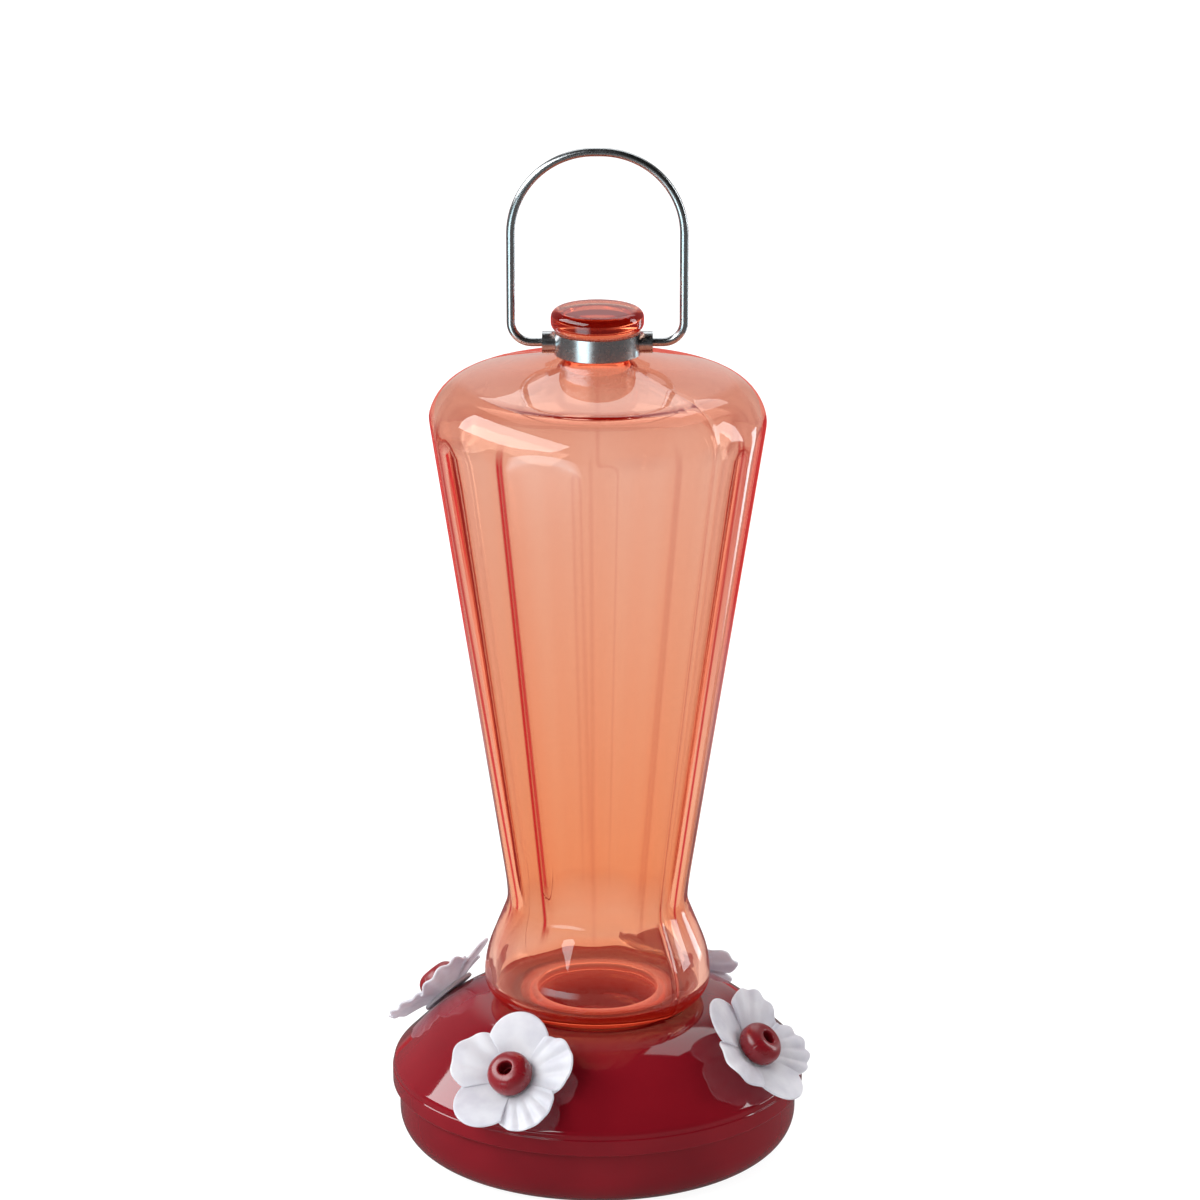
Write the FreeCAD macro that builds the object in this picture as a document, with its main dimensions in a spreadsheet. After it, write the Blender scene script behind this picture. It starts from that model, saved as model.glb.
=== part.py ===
import FreeCAD, Part
import math
import os
import re
import Sketcher
from FreeCAD import Placement, Rotation, Vector

# A hanging nectar feeder of three stacked pieces. A shallow dish with a screw cup in its middle
# stands on the ground plane. A domed cover with four flower ports sits on the rim of the cup.
# A fluted glass bottle stands neck down in the cup and rests its shoulder on the cover.
# The origin is the middle of the dish's underside and +Z is up. Lengths are in millimetres,
# angles in degrees.

SIZES = [
    # Dish and cup, one moulding
    ("dish_radius", 59.7, "outer radius of the dish"),
    ("dish_height", 21.5, "height of the dish's rim"),
    ("dish_round", 10.0, "outer rounding under the dish"),
    ("dish_wall", 1.8, "wall of the dish"),
    ("floor_thickness", 2.0, "floor of the dish"),
    ("rim_round", 0.6, "rounding of thin moulded rims"),
    ("cup_radius", 24.1, "outer radius of the cup"),
    ("cup_wall", 1.7, "wall of the cup"),
    ("cup_height", 40.4, "height of the cup's rim"),
    ("foot_bead", 0.6, "how far the bead at the cup's foot stands out"),
    ("foot_bead_height", 1.2, "height of that bead"),
    ("slot_width", 7.0, "width of the feed slots"),
    ("slot_height", 10.0, "height of the feed slots above the floor"),
    ("slot_turn", 56.0, "angle of the first slot from the front"),
    # Cover
    ("clearance", 0.3, "gap between pieces that slide past each other"),
    ("lip_wall", 1.8, "wall of the cover's lip"),
    ("lip_overlap", 3.4, "how far the lip hangs over the dish's wall"),
    ("lip_height", 5.3, "height of the plain band at the lip"),
    ("lip_step", 0.3, "step between the band and the dome"),
    ("dome_rise", 3.7, "height of the dome's lower corner above the dish's rim"),
    ("dome_shoulder", 0.4535, "where the dome turns down, as a share from its collar to its edge"),
    ("dome_blend", 0.8, "share of the flat top that the rounding to the side takes"),
    ("edge_round", 2.5, "rounding between the dome's side and its band"),
    ("cover_wall", 1.8, "wall of the dome"),
    ("ledge", 4.2, "height of the ledge that rests on the cup's rim"),
    ("ledge_round", 0.8, "rounding of the cover's hole"),
    ("collar_depth", 14.3, "from the cover's top to the end of its collar"),
    ("collar_wall", 1.6, "wall of the collar"),
    # Ports
    ("port_turn", 28.0, "angle of the first port from the front"),
    ("port_fit", 0.15, "gap round a port's stem"),
    ("stem_radius", 2.8, "radius of a port's stem"),
    ("stem_tail", 5.5, "length of the stem under the dome's surface"),
    ("stem_bore", 1.5, "radius of the nectar hole in the stem"),
    ("bead_radius", 6.6, "radius of a port's bead"),
    ("bead_height", 5.0, "height of the bead's middle above the dome's surface"),
    ("bead_front", 4.1, "from the bead's middle to its front"),
    ("bead_round", 3.9, "rounding of the bead"),
    ("bead_bore", 2.1, "radius of the hole in the bead's front"),
    ("bead_bore_depth", 4.0, "depth of the wide part of that hole"),
    ("bore_round", 0.5, "rounding of the hole's edge"),
    # Flowers
    ("flower_radius", 20.0, "radius of a flower"),
    ("hub_radius", 8.75, "radius of the flower's hub"),
    ("hub_thickness", 1.2, "thickness of the hub"),
    ("petal_root", 6.4, "radius where the petals leave the hub"),
    ("petal_thickness", 0.9, "thickness of the petals"),
    ("petal_bend_radius", 11.5, "radius where the petals bend outwards"),
    ("petal_bend_height", 3.4, "height of the petals there"),
    ("petal_bend_round", 12.0, "rounding of that bend"),
    ("petal_rise", 5.2, "height of the petals' tips"),
    ("petal_reach", 9.4, "radius of a petal's round outline"),
    ("petal_turn", 44.0, "turn of the flower about its stem"),
    ("petal_turn_step", 17.0, "further turn of every second flower"),
    ("flute_radius", 2.4, "radius of the hollow flutes in the petals"),
    ("flute_depth", 0.3, "depth of the flutes"),
    ("flute_turn", 17.0, "angle between the flutes of one petal"),
    # Bottle, heights from the seat where its shoulder rests
    ("neck_length", 25.3, "from the seat down to the mouth"),
    ("neck_radius", 20.0, "outer radius of the neck"),
    ("neck_wall", 1.9, "glass of the neck"),
    ("mouth_round", 0.7, "rounding of the mouth"),
    ("glass_wall", 3.0, "glass of the body"),
    ("shoulder_round", 7.6, "rounding of the shoulder"),
    ("bulge_radius", 33.8, "radius of the bulge over the shoulder"),
    ("bulge_height", 13.4, "height of the bulge's upper corner"),
    ("bulge_round", 30.0, "rounding of that corner"),
    ("waist_radius", 26.75, "radius at the waist's corner"),
    ("waist_height", 31.0, "height of the waist's corner"),
    ("waist_round", 8.0, "rounding of the waist"),
    ("top_radius", 51.4, "radius at the top corner of the taper"),
    ("top_height", 188.7, "height of that corner"),
    ("top_round", 15.0, "rounding of that corner"),
    ("crown_rise", 10.0, "rise of the closed crown"),
    ("knob_neck_radius", 10.0, "radius of the glass neck under the knob"),
    ("knob_neck_length", 7.2, "length of that neck"),
    ("knob_neck_round", 1.5, "rounding at the foot of that neck"),
    ("knob_radius", 13.5, "radius of the knob"),
    ("knob_height", 6.5, "height of the knob"),
    ("knob_round", 2.6, "rounding of the knob"),
    ("panel_depth_waist", 0.7, "depth of the flat panels at the waist"),
    ("panel_depth_top", 1.25, "depth of the flat panels at the top"),
    ("panel_run_out", 7.0, "length below the waist over which the panels end"),
    ("panel_run_slope", 0.55, "outward slope of that end"),
    ("panel_turn", 2.2, "angle of the front rib from the front"),
    # Hanger
    ("collar_ring_wall", 2.2, "wall of the hanger's collar"),
    ("boss_radius", 3.2, "radius of the collar's eyes, half the collar's height"),
    ("boss_reach", 16.0, "distance of the eyes' faces from the middle"),
    ("wire_radius", 1.25, "radius of the bail's wire"),
    ("wire_entry", 12.4, "distance of the wire's ends from the middle"),
    ("bail_half_width", 25.0, "half the width of the bail"),
    ("bail_height", 56.0, "height of the bail over its eyes"),
    ("bail_foot_round", 6.0, "bend at the foot of the bail"),
]
PANELS = 11
PETALS = 5
FLUTES = 3
PORTS = 4

# Places worked out from the driving sizes
CUP_BORE = "(cup_radius - cup_wall)"
COVER_TOP = "(cup_height + ledge)"
LIP_INNER = "(dish_radius + clearance)"
LIP_OUTER = "(dish_radius + clearance + lip_wall)"
LIP_BOTTOM = "(dish_height - lip_overlap)"
BAND_TOP = "(dish_height - lip_overlap + lip_height)"
DOME_RADIUS = f"({LIP_OUTER} - lip_step)"
DOME_BASE = "(dish_height + dome_rise)"
COLLAR_OUTER = "(cup_radius + clearance + collar_wall)"
DOME_CORNER = f"({COLLAR_OUTER} + dome_shoulder * ({DOME_RADIUS} - {COLLAR_OUTER}))"
DOME_RUN = f"({DOME_RADIUS} - {DOME_CORNER})"
DOME_DROP = f"({COVER_TOP} - {DOME_BASE})"
DOME_SIDE = f"sqrt({DOME_RUN} ^ 2 + {DOME_DROP} ^ 2)"
HALF_TURN = f"(({DOME_SIDE} - {DOME_RUN}) / {DOME_DROP})"
BLEND = f"(dome_blend * ({DOME_CORNER} - {COLLAR_OUTER}))"
DOME_ROUND = f"({BLEND} / {HALF_TURN})"
SIDE_SHIFT = f"({DOME_RADIUS} - {LIP_INNER})"
INNER_BASE = f"({DOME_BASE} + ({SIDE_SHIFT} * {DOME_DROP} - cover_wall * {DOME_SIDE}) / {DOME_RUN})"
INNER_CORNER = f"({DOME_CORNER} - cover_wall * {HALF_TURN})"
# The ports stand where the dome's rounding meets its straight side
PORT_CIRCLE = f"({DOME_CORNER} + {BLEND} * {DOME_RUN} / {DOME_SIDE})"
PORT_HEIGHT = f"({COVER_TOP} - {BLEND} * {DOME_DROP} / {DOME_SIDE})"
HUB_BORE = "(stem_radius + port_fit)"
SEAT_GAP = "port_fit / 3"
WAIST_FLAT = "(waist_radius - panel_depth_waist)"
CROWN = f"({COVER_TOP} + top_height + crown_rise)"
EYE_HEIGHT = f"({CROWN} + knob_neck_length / 2 + clearance / 2)"

doc = FreeCAD.newDocument("feeder")
sheet = doc.addObject("Spreadsheet::Sheet", "Sizes")
for row, (alias, number, meaning) in enumerate(SIZES, start=1):
    sheet.set(f"A{row}", alias.replace("_", " "))
    sheet.set(f"B{row}", str(number))
    sheet.set(f"C{row}", meaning)
    sheet.setAlias(f"B{row}", alias)
doc.recompute()
ALIASES = {alias for alias, _, _ in SIZES}


def bound(formula):
    """Write a formula of size names the way the document's expressions read it."""
    return re.sub(r"[a-z_]+", lambda word: f"Sizes.{word[0]}" if word[0] in ALIASES else word[0], formula)


def value(formula):
    """Work a formula of size names out to a number."""
    return float(sheet.evalExpression(bound(formula)))


def plane(body, role):
    """One of a body's own origin planes or axes."""
    return next(item for item in body.Origin.OriginFeatures if item.Role == role)


def new_body(label):
    """A body whose label is the name of its file."""
    body = doc.addObject("PartDesign::Body", label)
    body.Label = label
    return body


def new_sketch(body, name, role="XZ_Plane"):
    """An empty sketch on one of the body's origin planes."""
    sketch = body.newObject("Sketcher::SketchObject", f"{body.Name}_{name}")
    sketch.AttachmentSupport = (plane(body, role), [""])
    sketch.MapMode = "FlatFace"
    return sketch


def pin(sketch, piece, end, across, up):
    """Hold a point at the place that two formulas give."""
    for kind, formula, axis in (("DistanceX", across, -2), ("DistanceY", up, -1)):
        if formula == "0":
            sketch.addConstraint(Sketcher.Constraint("PointOnObject", piece, end, axis))
            continue
        number = value(formula)
        index = sketch.addConstraint(Sketcher.Constraint(kind, -1, 1, piece, end, number))
        sketch.setExpression(f"Constraints[{index}]", bound(formula))


def corner_cut(before, point, after, radius):
    """Where a rounding leaves both sides of a corner, with its middle and its sense."""
    back = (before - point).normalize()
    ahead = (after - point).normalize()
    half = back.getAngle(ahead) / 2
    reach = radius / math.tan(half)
    middle = point + (back + ahead).normalize() * (radius / math.sin(half))
    left = (point - before).cross(after - point).z > 0
    return point + back * reach, point + ahead * reach, middle, left


def outline(sketch, corners, closed=True):
    """Draw straight sides through corners (across, up, rounding), each held by its formulas."""
    spots = [Vector(value(across), value(up), 0) for across, up, _ in corners]
    count = len(corners)
    arrive, leave, rounds = list(spots), list(spots), {}
    for i, (_, _, rounding) in enumerate(corners):
        if rounding is None:
            continue
        radius = value(rounding)
        arrive[i], leave[i], middle, left = corner_cut(spots[i - 1], spots[i], spots[(i + 1) % count], radius)
        rounds[i] = (middle, radius, left)
    sides = []
    for i in range(count if closed else count - 1):
        sides.append(sketch.addGeometry(Part.LineSegment(leave[i], arrive[(i + 1) % count]), False))
    for i, (across, up, rounding) in enumerate(corners):
        if not closed and i in (0, count - 1):
            pin(sketch, sides[0] if i == 0 else sides[-1], 1 if i == 0 else 2, across, up)
            continue
        side_in, side_out = sides[i - 1], sides[i]
        if rounding is None:
            sketch.addConstraint(Sketcher.Constraint("Coincident", side_in, 2, side_out, 1))
            pin(sketch, side_out, 1, across, up)
            continue
        middle, radius, left = rounds[i]
        first, last = (arrive[i], leave[i]) if left else (leave[i], arrive[i])
        start = math.atan2(first.y - middle.y, first.x - middle.x)
        stop = math.atan2(last.y - middle.y, last.x - middle.x)
        circle = Part.Circle(middle, Vector(0, 0, 1), radius)
        arc = sketch.addGeometry(Part.ArcOfCircle(circle, start, stop), False)
        mark = sketch.addGeometry(Part.Point(spots[i]), True)
        pin(sketch, mark, 1, across, up)
        sketch.addConstraint(Sketcher.Constraint("PointOnObject", mark, 1, side_in))
        sketch.addConstraint(Sketcher.Constraint("PointOnObject", mark, 1, side_out))
        sketch.addConstraint(Sketcher.Constraint("Tangent", side_in, 2, arc, 1 if left else 2))
        sketch.addConstraint(Sketcher.Constraint("Tangent", side_out, 1, arc, 2 if left else 1))
        index = sketch.addConstraint(Sketcher.Constraint("Radius", arc, radius))
        sketch.setExpression(f"Constraints[{index}]", bound(rounding))


def turned(body, name, corners):
    """A solid of revolution about Z from a closed outline in the XZ plane."""
    sketch = new_sketch(body, f"{name}_outline")
    outline(sketch, corners)
    feature = body.newObject("PartDesign::Revolution", f"{body.Name}_{name}")
    feature.Profile = sketch
    feature.ReferenceAxis = (sketch, ["V_Axis"])
    feature.Angle = 360
    sketch.Visibility = False
    doc.recompute()
    return feature


def cut_both_ways(body, name, corners, turn, length):
    """Cut an outline in an upright plane through Z, turned about Z, equally to both sides."""
    sketch = new_sketch(body, f"{name}_outline")
    sketch.AttachmentOffset = Placement(Vector(0, 0, 0), Rotation(Vector(0, 1, 0), value(turn)))
    outline(sketch, corners)
    before = body.Tip.Shape.Volume
    feature = body.newObject("PartDesign::Pocket", f"{body.Name}_{name}")
    feature.Profile = sketch
    feature.SideType = "Symmetric"
    feature.Length = value(length)
    feature.setExpression("Length", bound(length))
    sketch.Visibility = False
    doc.recompute()
    if feature.Shape.Volume >= before:
        raise RuntimeError(f"{feature.Name} cuts nothing")
    return feature


def base_dish():
    """Shallow round dish with the screw cup standing in its middle, moulded as one piece."""
    body = new_body("base_dish")
    inner = "(dish_radius - dish_wall)"
    foot = "(cup_radius + foot_bead)"
    turned(body, "wall", [
        ("0", "0", None),
        ("dish_radius", "0", "dish_round"),
        ("dish_radius", "dish_height", "rim_round"),
        (inner, "dish_height", "rim_round"),
        (inner, "floor_thickness", "(dish_round - dish_wall)"),
        (foot, "floor_thickness", None),
        (foot, "(floor_thickness + foot_bead_height)", None),
        ("cup_radius", "(floor_thickness + foot_bead_height + foot_bead)", None),
        ("cup_radius", "cup_height", "rim_round"),
        (CUP_BORE, "cup_height", "rim_round"),
        (CUP_BORE, "floor_thickness", "foot_bead"),
        ("0", "floor_thickness", None),
    ])
    # Two opposite slots at the cup's foot let the nectar out into the dish
    half = "(slot_width / 2)"
    crest = "(floor_thickness + slot_height)"
    cut_both_ways(body, "slots", [
        (f"-{half}", "floor_thickness", None),
        (half, "floor_thickness", None),
        (half, crest, "(slot_width * 0.45)"),
        (f"-{half}", crest, "(slot_width * 0.45)"),
    ], "(0 - slot_turn)", "2 * (cup_radius + foot_bead)")
    return body


def port_azimuths():
    """Directions of the ports in the XY plane, evenly spaced from the first."""
    first = -90 - value("port_turn")
    return [first + 360 / PORTS * k for k in range(PORTS)]


def port_placement(azimuth, spin):
    """Place on the dome's side with local +Z square to it, spun about that axis."""
    lean = Rotation(Vector(0, 1, 0), math.degrees(math.atan2(value(DOME_DROP), value(DOME_RUN))))
    turn = Rotation(Vector(0, 0, 1), azimuth)
    seat = turn.multVec(Vector(value(PORT_CIRCLE), 0, value(PORT_HEIGHT)))
    return Placement(seat, turn * lean * Rotation(Vector(0, 0, 1), spin))


def top_cover():
    """Domed cover: a lip over the dish, a sloped side, a flat top and a collar round the cup."""
    body = new_body("top_cover")
    collar_bore = "(cup_radius + clearance)"
    collar_end = f"({COVER_TOP} - collar_depth)"
    ceiling = f"({COVER_TOP} - cover_wall)"
    turned(body, "shell", [
        (CUP_BORE, COVER_TOP, "ledge_round"),
        (DOME_CORNER, COVER_TOP, DOME_ROUND),
        (DOME_RADIUS, DOME_BASE, "edge_round"),
        (DOME_RADIUS, BAND_TOP, None),
        (LIP_OUTER, f"({BAND_TOP} - lip_step)", None),
        (LIP_OUTER, LIP_BOTTOM, "rim_round"),
        (LIP_INNER, LIP_BOTTOM, "rim_round"),
        (LIP_INNER, INNER_BASE, "edge_round / 2"),
        (INNER_CORNER, ceiling, f"({DOME_ROUND} - cover_wall)"),
        (COLLAR_OUTER, ceiling, "ledge_round"),
        (COLLAR_OUTER, collar_end, None),
        (collar_bore, collar_end, None),
        (collar_bore, "cup_height", None),
        (CUP_BORE, "cup_height", None),
    ])
    # One bore square to the dome's side for each port
    turn = "(-90 - port_turn)"
    drill = new_sketch(body, "bore_outline", "XY_Plane")
    seat = port_placement(value(turn), 0)
    drill.AttachmentOffset = seat
    bore = drill.addGeometry(Part.Circle(Vector(0, 0, 0), Vector(0, 0, 1), value(HUB_BORE)), False)
    drill.addConstraint(Sketcher.Constraint("Coincident", bore, 3, -1, 1))
    index = drill.addConstraint(Sketcher.Constraint("Radius", bore, value(HUB_BORE)))
    drill.setExpression(f"Constraints[{index}]", bound(HUB_BORE))
    before = body.Tip.Shape.Volume
    cut = body.newObject("PartDesign::Pocket", "top_cover_bore")
    cut.Profile = drill
    cut.SideType = "Symmetric"
    cut.Length = value("3 * cover_wall")
    cut.setExpression("Length", bound("3 * cover_wall"))
    doc.recompute()
    ring = polar(body, cut, PORTS)
    if ring.Shape.Volume > before - PORTS * math.pi * value(HUB_BORE) ** 2 * value("cover_wall") * 0.9:
        raise RuntimeError("the ports' bores do not go through the cover")
    return body


def polar(body, feature, count):
    """Repeat a feature evenly about Z."""
    ring = body.newObject("PartDesign::PolarPattern", f"{feature.Name}_ring")
    ring.Originals = [feature]
    ring.Axis = (plane(body, "Z_Axis"), [""])
    ring.Angle = 360
    ring.Occurrences = count
    body.Tip = ring
    doc.recompute()
    return ring


def port(number, azimuth):
    """Round bead with a feeding hole, on a hollow stem that holds the flower to the cover."""
    body = new_body(f"port_{number}")
    seat = f"(hub_thickness + {SEAT_GAP})"
    front = "(bead_height + bead_front)"
    turned(body, "bead", [
        ("bead_bore", front, "bore_round"),
        ("bead_radius", front, "bead_round"),
        ("bead_radius", seat, "(bead_height - hub_thickness) * 0.8"),
        ("stem_radius", seat, None),
        ("stem_radius", "0 - stem_tail", None),
        ("stem_bore", "0 - stem_tail", None),
        ("stem_bore", f"({front} - bead_bore_depth)", None),
        ("bead_bore", f"({front} - bead_bore_depth)", None),
    ])
    body.Placement = port_placement(azimuth, 0)
    return body


def flower(number, azimuth):
    """Flower of five cupped, fluted petals on a round hub, with a hole for the port's stem."""
    name = f"flower_{number}"
    bowl = new_body(f"{name}_bowl")
    under = "(petal_root + petal_thickness * 1.3)"
    lower = SEAT_GAP
    upper = "hub_thickness"
    turned(bowl, "shell", [
        (HUB_BORE, lower, None),
        ("hub_radius", lower, None),
        ("hub_radius", upper, None),
        (under, upper, None),
        ("petal_bend_radius", "petal_bend_height", "petal_bend_round"),
        ("flower_radius", "petal_rise", None),
        ("flower_radius", "(petal_rise + petal_thickness)", None),
        ("petal_bend_radius", "(petal_bend_height + petal_thickness)", "petal_bend_round"),
        ("petal_root", upper, None),
        (HUB_BORE, upper, None),
    ])
    # The outline of the petals is a ring of overlapping rounds joined by the hub's own round
    rounds = []
    for k in range(PETALS):
        lobe = doc.addObject("Part::Cylinder", f"{name}_petal_{k + 1}")
        lobe.setExpression("Radius", bound("petal_reach"))
        lobe.setExpression("Height", bound("2 * petal_rise"))
        lobe.setExpression("Placement.Base.x", bound(f"(flower_radius - petal_reach) * cos({360 / PETALS * k})"))
        lobe.setExpression("Placement.Base.y", bound(f"(flower_radius - petal_reach) * sin({360 / PETALS * k})"))
        rounds.append(lobe)
    hub = doc.addObject("Part::Cylinder", f"{name}_hub")
    hub.setExpression("Radius", bound("hub_radius + clearance"))
    hub.setExpression("Height", bound("2 * petal_rise"))
    print_of_petals = doc.addObject("Part::MultiFuse", f"{name}_outline")
    print_of_petals.Shapes = rounds + [hub]
    blank = doc.addObject("Part::MultiCommon", f"{name}_blank")
    blank.Shapes = [bowl, print_of_petals]
    whole = doc.addObject("Part::Cut", name)
    whole.Label = name
    whole.Base = blank
    whole.Tool = petal_flutes(name)
    doc.recompute()
    if whole.Shape.Volume >= blank.Shape.Volume:
        raise RuntimeError(f"{name} has no flutes")
    turn = "petal_turn + petal_turn_step" if number % 2 == 0 else "petal_turn"
    whole.Placement = port_placement(azimuth, value(turn))
    return whole


def petal_flutes(name):
    """Round bars that press a fan of hollow flutes into the upper side of each petal.

    They lie along the petals' outer slope, so that they run out where the petals bend down.
    """
    rise = value("petal_rise - petal_bend_height")
    run = value("flower_radius - petal_bend_radius")
    slope = math.atan2(rise, run)
    start = value("petal_bend_radius - flute_radius")
    above = value("petal_bend_height + petal_thickness + flute_radius - flute_depth")
    foot = Vector(start, 0, above - value("flute_radius") * math.tan(slope))
    lean = Rotation(Vector(0, 1, 0), 90 - math.degrees(slope))
    bars = []
    for k in range(PETALS * FLUTES):
        petal, flute = divmod(k, FLUTES)
        azimuth = 360 / PETALS * petal + (flute - (FLUTES - 1) / 2) * value("flute_turn")
        turn = Rotation(Vector(0, 0, 1), azimuth)
        bar = doc.addObject("Part::Cylinder", f"{name}_flute_{k + 1}")
        bar.setExpression("Radius", bound("flute_radius"))
        bar.setExpression("Height", bound("flower_radius"))
        bar.Placement = Placement(turn.multVec(foot), turn * lean)
        bars.append(bar)
    fan = doc.addObject("Part::MultiFuse", f"{name}_flutes")
    fan.Shapes = bars
    return fan


def bottle():
    """Closed glass bottle, neck down: threaded neck, round bulge, waist and panelled taper."""
    body = new_body("bottle")
    seat = COVER_TOP
    mouth = f"({seat} - neck_length)"
    neck_bore = "(neck_radius - neck_wall)"
    knob_foot = f"({CROWN} + knob_neck_length)"
    knob_top = f"({knob_foot} + knob_height)"
    turned(body, "glass", [
        (neck_bore, mouth, "mouth_round"),
        ("neck_radius", mouth, "mouth_round"),
        ("neck_radius", seat, None),
        ("bulge_radius", seat, "shoulder_round"),
        ("bulge_radius", f"({seat} + bulge_height)", "bulge_round"),
        ("waist_radius", f"({seat} + waist_height)", "waist_round"),
        ("top_radius", f"({seat} + top_height)", "top_round"),
        ("knob_neck_radius", CROWN, "knob_neck_round"),
        ("knob_neck_radius", knob_foot, None),
        ("knob_radius", knob_foot, "knob_round"),
        ("knob_radius", knob_top, "knob_round"),
        ("0", knob_top, None),
        ("0", f"({CROWN} - glass_wall)", None),
        ("(top_radius - glass_wall)", f"({seat} + top_height - glass_wall)", "(top_round - glass_wall)"),
        ("(waist_radius - glass_wall)", f"({seat} + waist_height)", "(waist_round + glass_wall)"),
        ("(bulge_radius - glass_wall)", f"({seat} + bulge_height)", "(bulge_round - glass_wall)"),
        ("(bulge_radius - glass_wall)", f"({seat} + glass_wall)", "(shoulder_round - glass_wall)"),
        (neck_bore, f"({seat} + glass_wall)", "mouth_round"),
    ])
    # Flat panels all round the taper leave narrow ribs between them, and run out below the waist
    outside = "(top_radius + panel_depth_top)"
    panel = cut_both_ways(body, "panel", [
        (f"({WAIST_FLAT} + panel_run_out * panel_run_slope)", f"({seat} + waist_height - panel_run_out)", None),
        (outside, f"({seat} + waist_height - panel_run_out)", None),
        (outside, f"({seat} + top_height)", None),
        ("(top_radius - panel_depth_top)", f"({seat} + top_height)", None),
        (WAIST_FLAT, f"({seat} + waist_height)", "waist_round"),
    ], f"(-90 - panel_turn + {180 / PANELS})", f"2 * top_radius * sin({180 / PANELS})")
    polar(body, panel, PANELS)
    return body


def hanger_collar():
    """Metal ring round the knob's neck with an eye on each side for the bail."""
    name = "hanger_collar"
    inner = "(knob_neck_radius + clearance)"
    foot = f"({EYE_HEIGHT} - boss_radius)"
    ring = doc.addObject("Part::Cylinder", f"{name}_ring")
    ring.setExpression("Radius", bound(f"{inner} + collar_ring_wall"))
    ring.setExpression("Height", bound("2 * boss_radius"))
    ring.setExpression("Placement.Base.z", bound(foot))
    eyes = doc.addObject("Part::Cylinder", f"{name}_eyes")
    eyes.setExpression("Radius", bound("boss_radius"))
    eyes.setExpression("Height", bound("2 * boss_reach"))
    eyes.Placement = Placement(Vector(0, 0, 0), Rotation(Vector(0, 1, 0), 90))
    eyes.setExpression("Placement.Base.x", bound("0 - boss_reach"))
    eyes.setExpression("Placement.Base.z", bound(EYE_HEIGHT))
    blank = doc.addObject("Part::Fuse", f"{name}_blank")
    blank.Base = ring
    blank.Tool = eyes
    bore = doc.addObject("Part::Cylinder", f"{name}_bore")
    bore.setExpression("Radius", bound(inner))
    bore.setExpression("Height", bound("4 * boss_radius"))
    bore.setExpression("Placement.Base.z", bound(f"{EYE_HEIGHT} - 2 * boss_radius"))
    pins = doc.addObject("Part::Cylinder", f"{name}_pins")
    pins.setExpression("Radius", bound("wire_radius + clearance"))
    pins.setExpression("Height", bound("4 * boss_reach"))
    pins.Placement = Placement(Vector(0, 0, 0), Rotation(Vector(0, 1, 0), 90))
    pins.setExpression("Placement.Base.x", bound("0 - 2 * boss_reach"))
    pins.setExpression("Placement.Base.z", bound(EYE_HEIGHT))
    holes = doc.addObject("Part::Fuse", f"{name}_holes")
    holes.Base = bore
    holes.Tool = pins
    whole = doc.addObject("Part::Cut", name)
    whole.Label = name
    whole.Base = blank
    whole.Tool = holes
    doc.recompute()
    return whole


def hanger_bail():
    """Wire bail: an arch whose feet turn inwards and end in the collar's eyes."""
    body = new_body("hanger_bail")
    crest = f"({EYE_HEIGHT} + bail_height)"
    path = new_sketch(body, "path")
    outline(path, [
        ("0 - wire_entry", EYE_HEIGHT, None),
        ("0 - bail_half_width", EYE_HEIGHT, "bail_foot_round"),
        ("0 - bail_half_width", crest, "(bail_half_width * 0.96)"),
        ("bail_half_width", crest, "(bail_half_width * 0.96)"),
        ("bail_half_width", EYE_HEIGHT, "bail_foot_round"),
        ("wire_entry", EYE_HEIGHT, None),
    ], closed=False)
    section = new_sketch(body, "section", "YZ_Plane")
    section.AttachmentOffset = Placement(Vector(0, 0, -value("wire_entry")), Rotation())
    middle = Vector(0, value(EYE_HEIGHT), 0)
    wire = section.addGeometry(Part.Circle(middle, Vector(0, 0, 1), value("wire_radius")), False)
    pin(section, wire, 3, "0", EYE_HEIGHT)
    index = section.addConstraint(Sketcher.Constraint("Radius", wire, value("wire_radius")))
    section.setExpression(f"Constraints[{index}]", bound("wire_radius"))
    pipe = body.newObject("PartDesign::AdditivePipe", "hanger_bail_wire")
    pipe.Profile = section
    pipe.Spine = (path, [])
    doc.recompute()
    return body


def check(parts):
    """Stop if anything in the document failed or a sub-part is not one sound solid."""
    for item in doc.Objects:
        if {"Invalid", "Error"} & set(item.State):
            raise RuntimeError(f"{item.Label} failed: {item.State}")
    for part in parts:
        if part.Shape.isNull() or not part.Shape.isValid() or len(part.Shape.Solids) != 1:
            raise RuntimeError(f"{part.Label} is not one sound solid")


parts = [base_dish(), top_cover()]
for number, azimuth in enumerate(port_azimuths(), start=1):
    parts.append(port(number, azimuth))
    parts.append(flower(number, azimuth))
parts += [bottle(), hanger_collar(), hanger_bail()]
doc.recompute()
check(parts)
os.makedirs("parts", exist_ok=True)
for part in parts:
    part.Shape.exportStep(f"parts/{part.Label}.step")
    print(f"{part.Label}: {part.Shape.Volume / 1000:.2f} cm3")
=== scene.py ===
"""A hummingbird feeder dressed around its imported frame.

The glass bottle, the moulded dish and cover, the flowers, their ports and the wire bail are
surfaces worked out from formulas, in the frame's own place and size, with procedural finishes.
Sizes are written in millimetres and go into the scene in metres. Angles are in degrees where a
size is written and in radians where it is used.
"""
import logging
import math
from collections.abc import Callable, Sequence
from dataclasses import dataclass
from enum import Enum

import bmesh
import bpy
import numpy as np
from mathutils import Matrix, Vector


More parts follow.
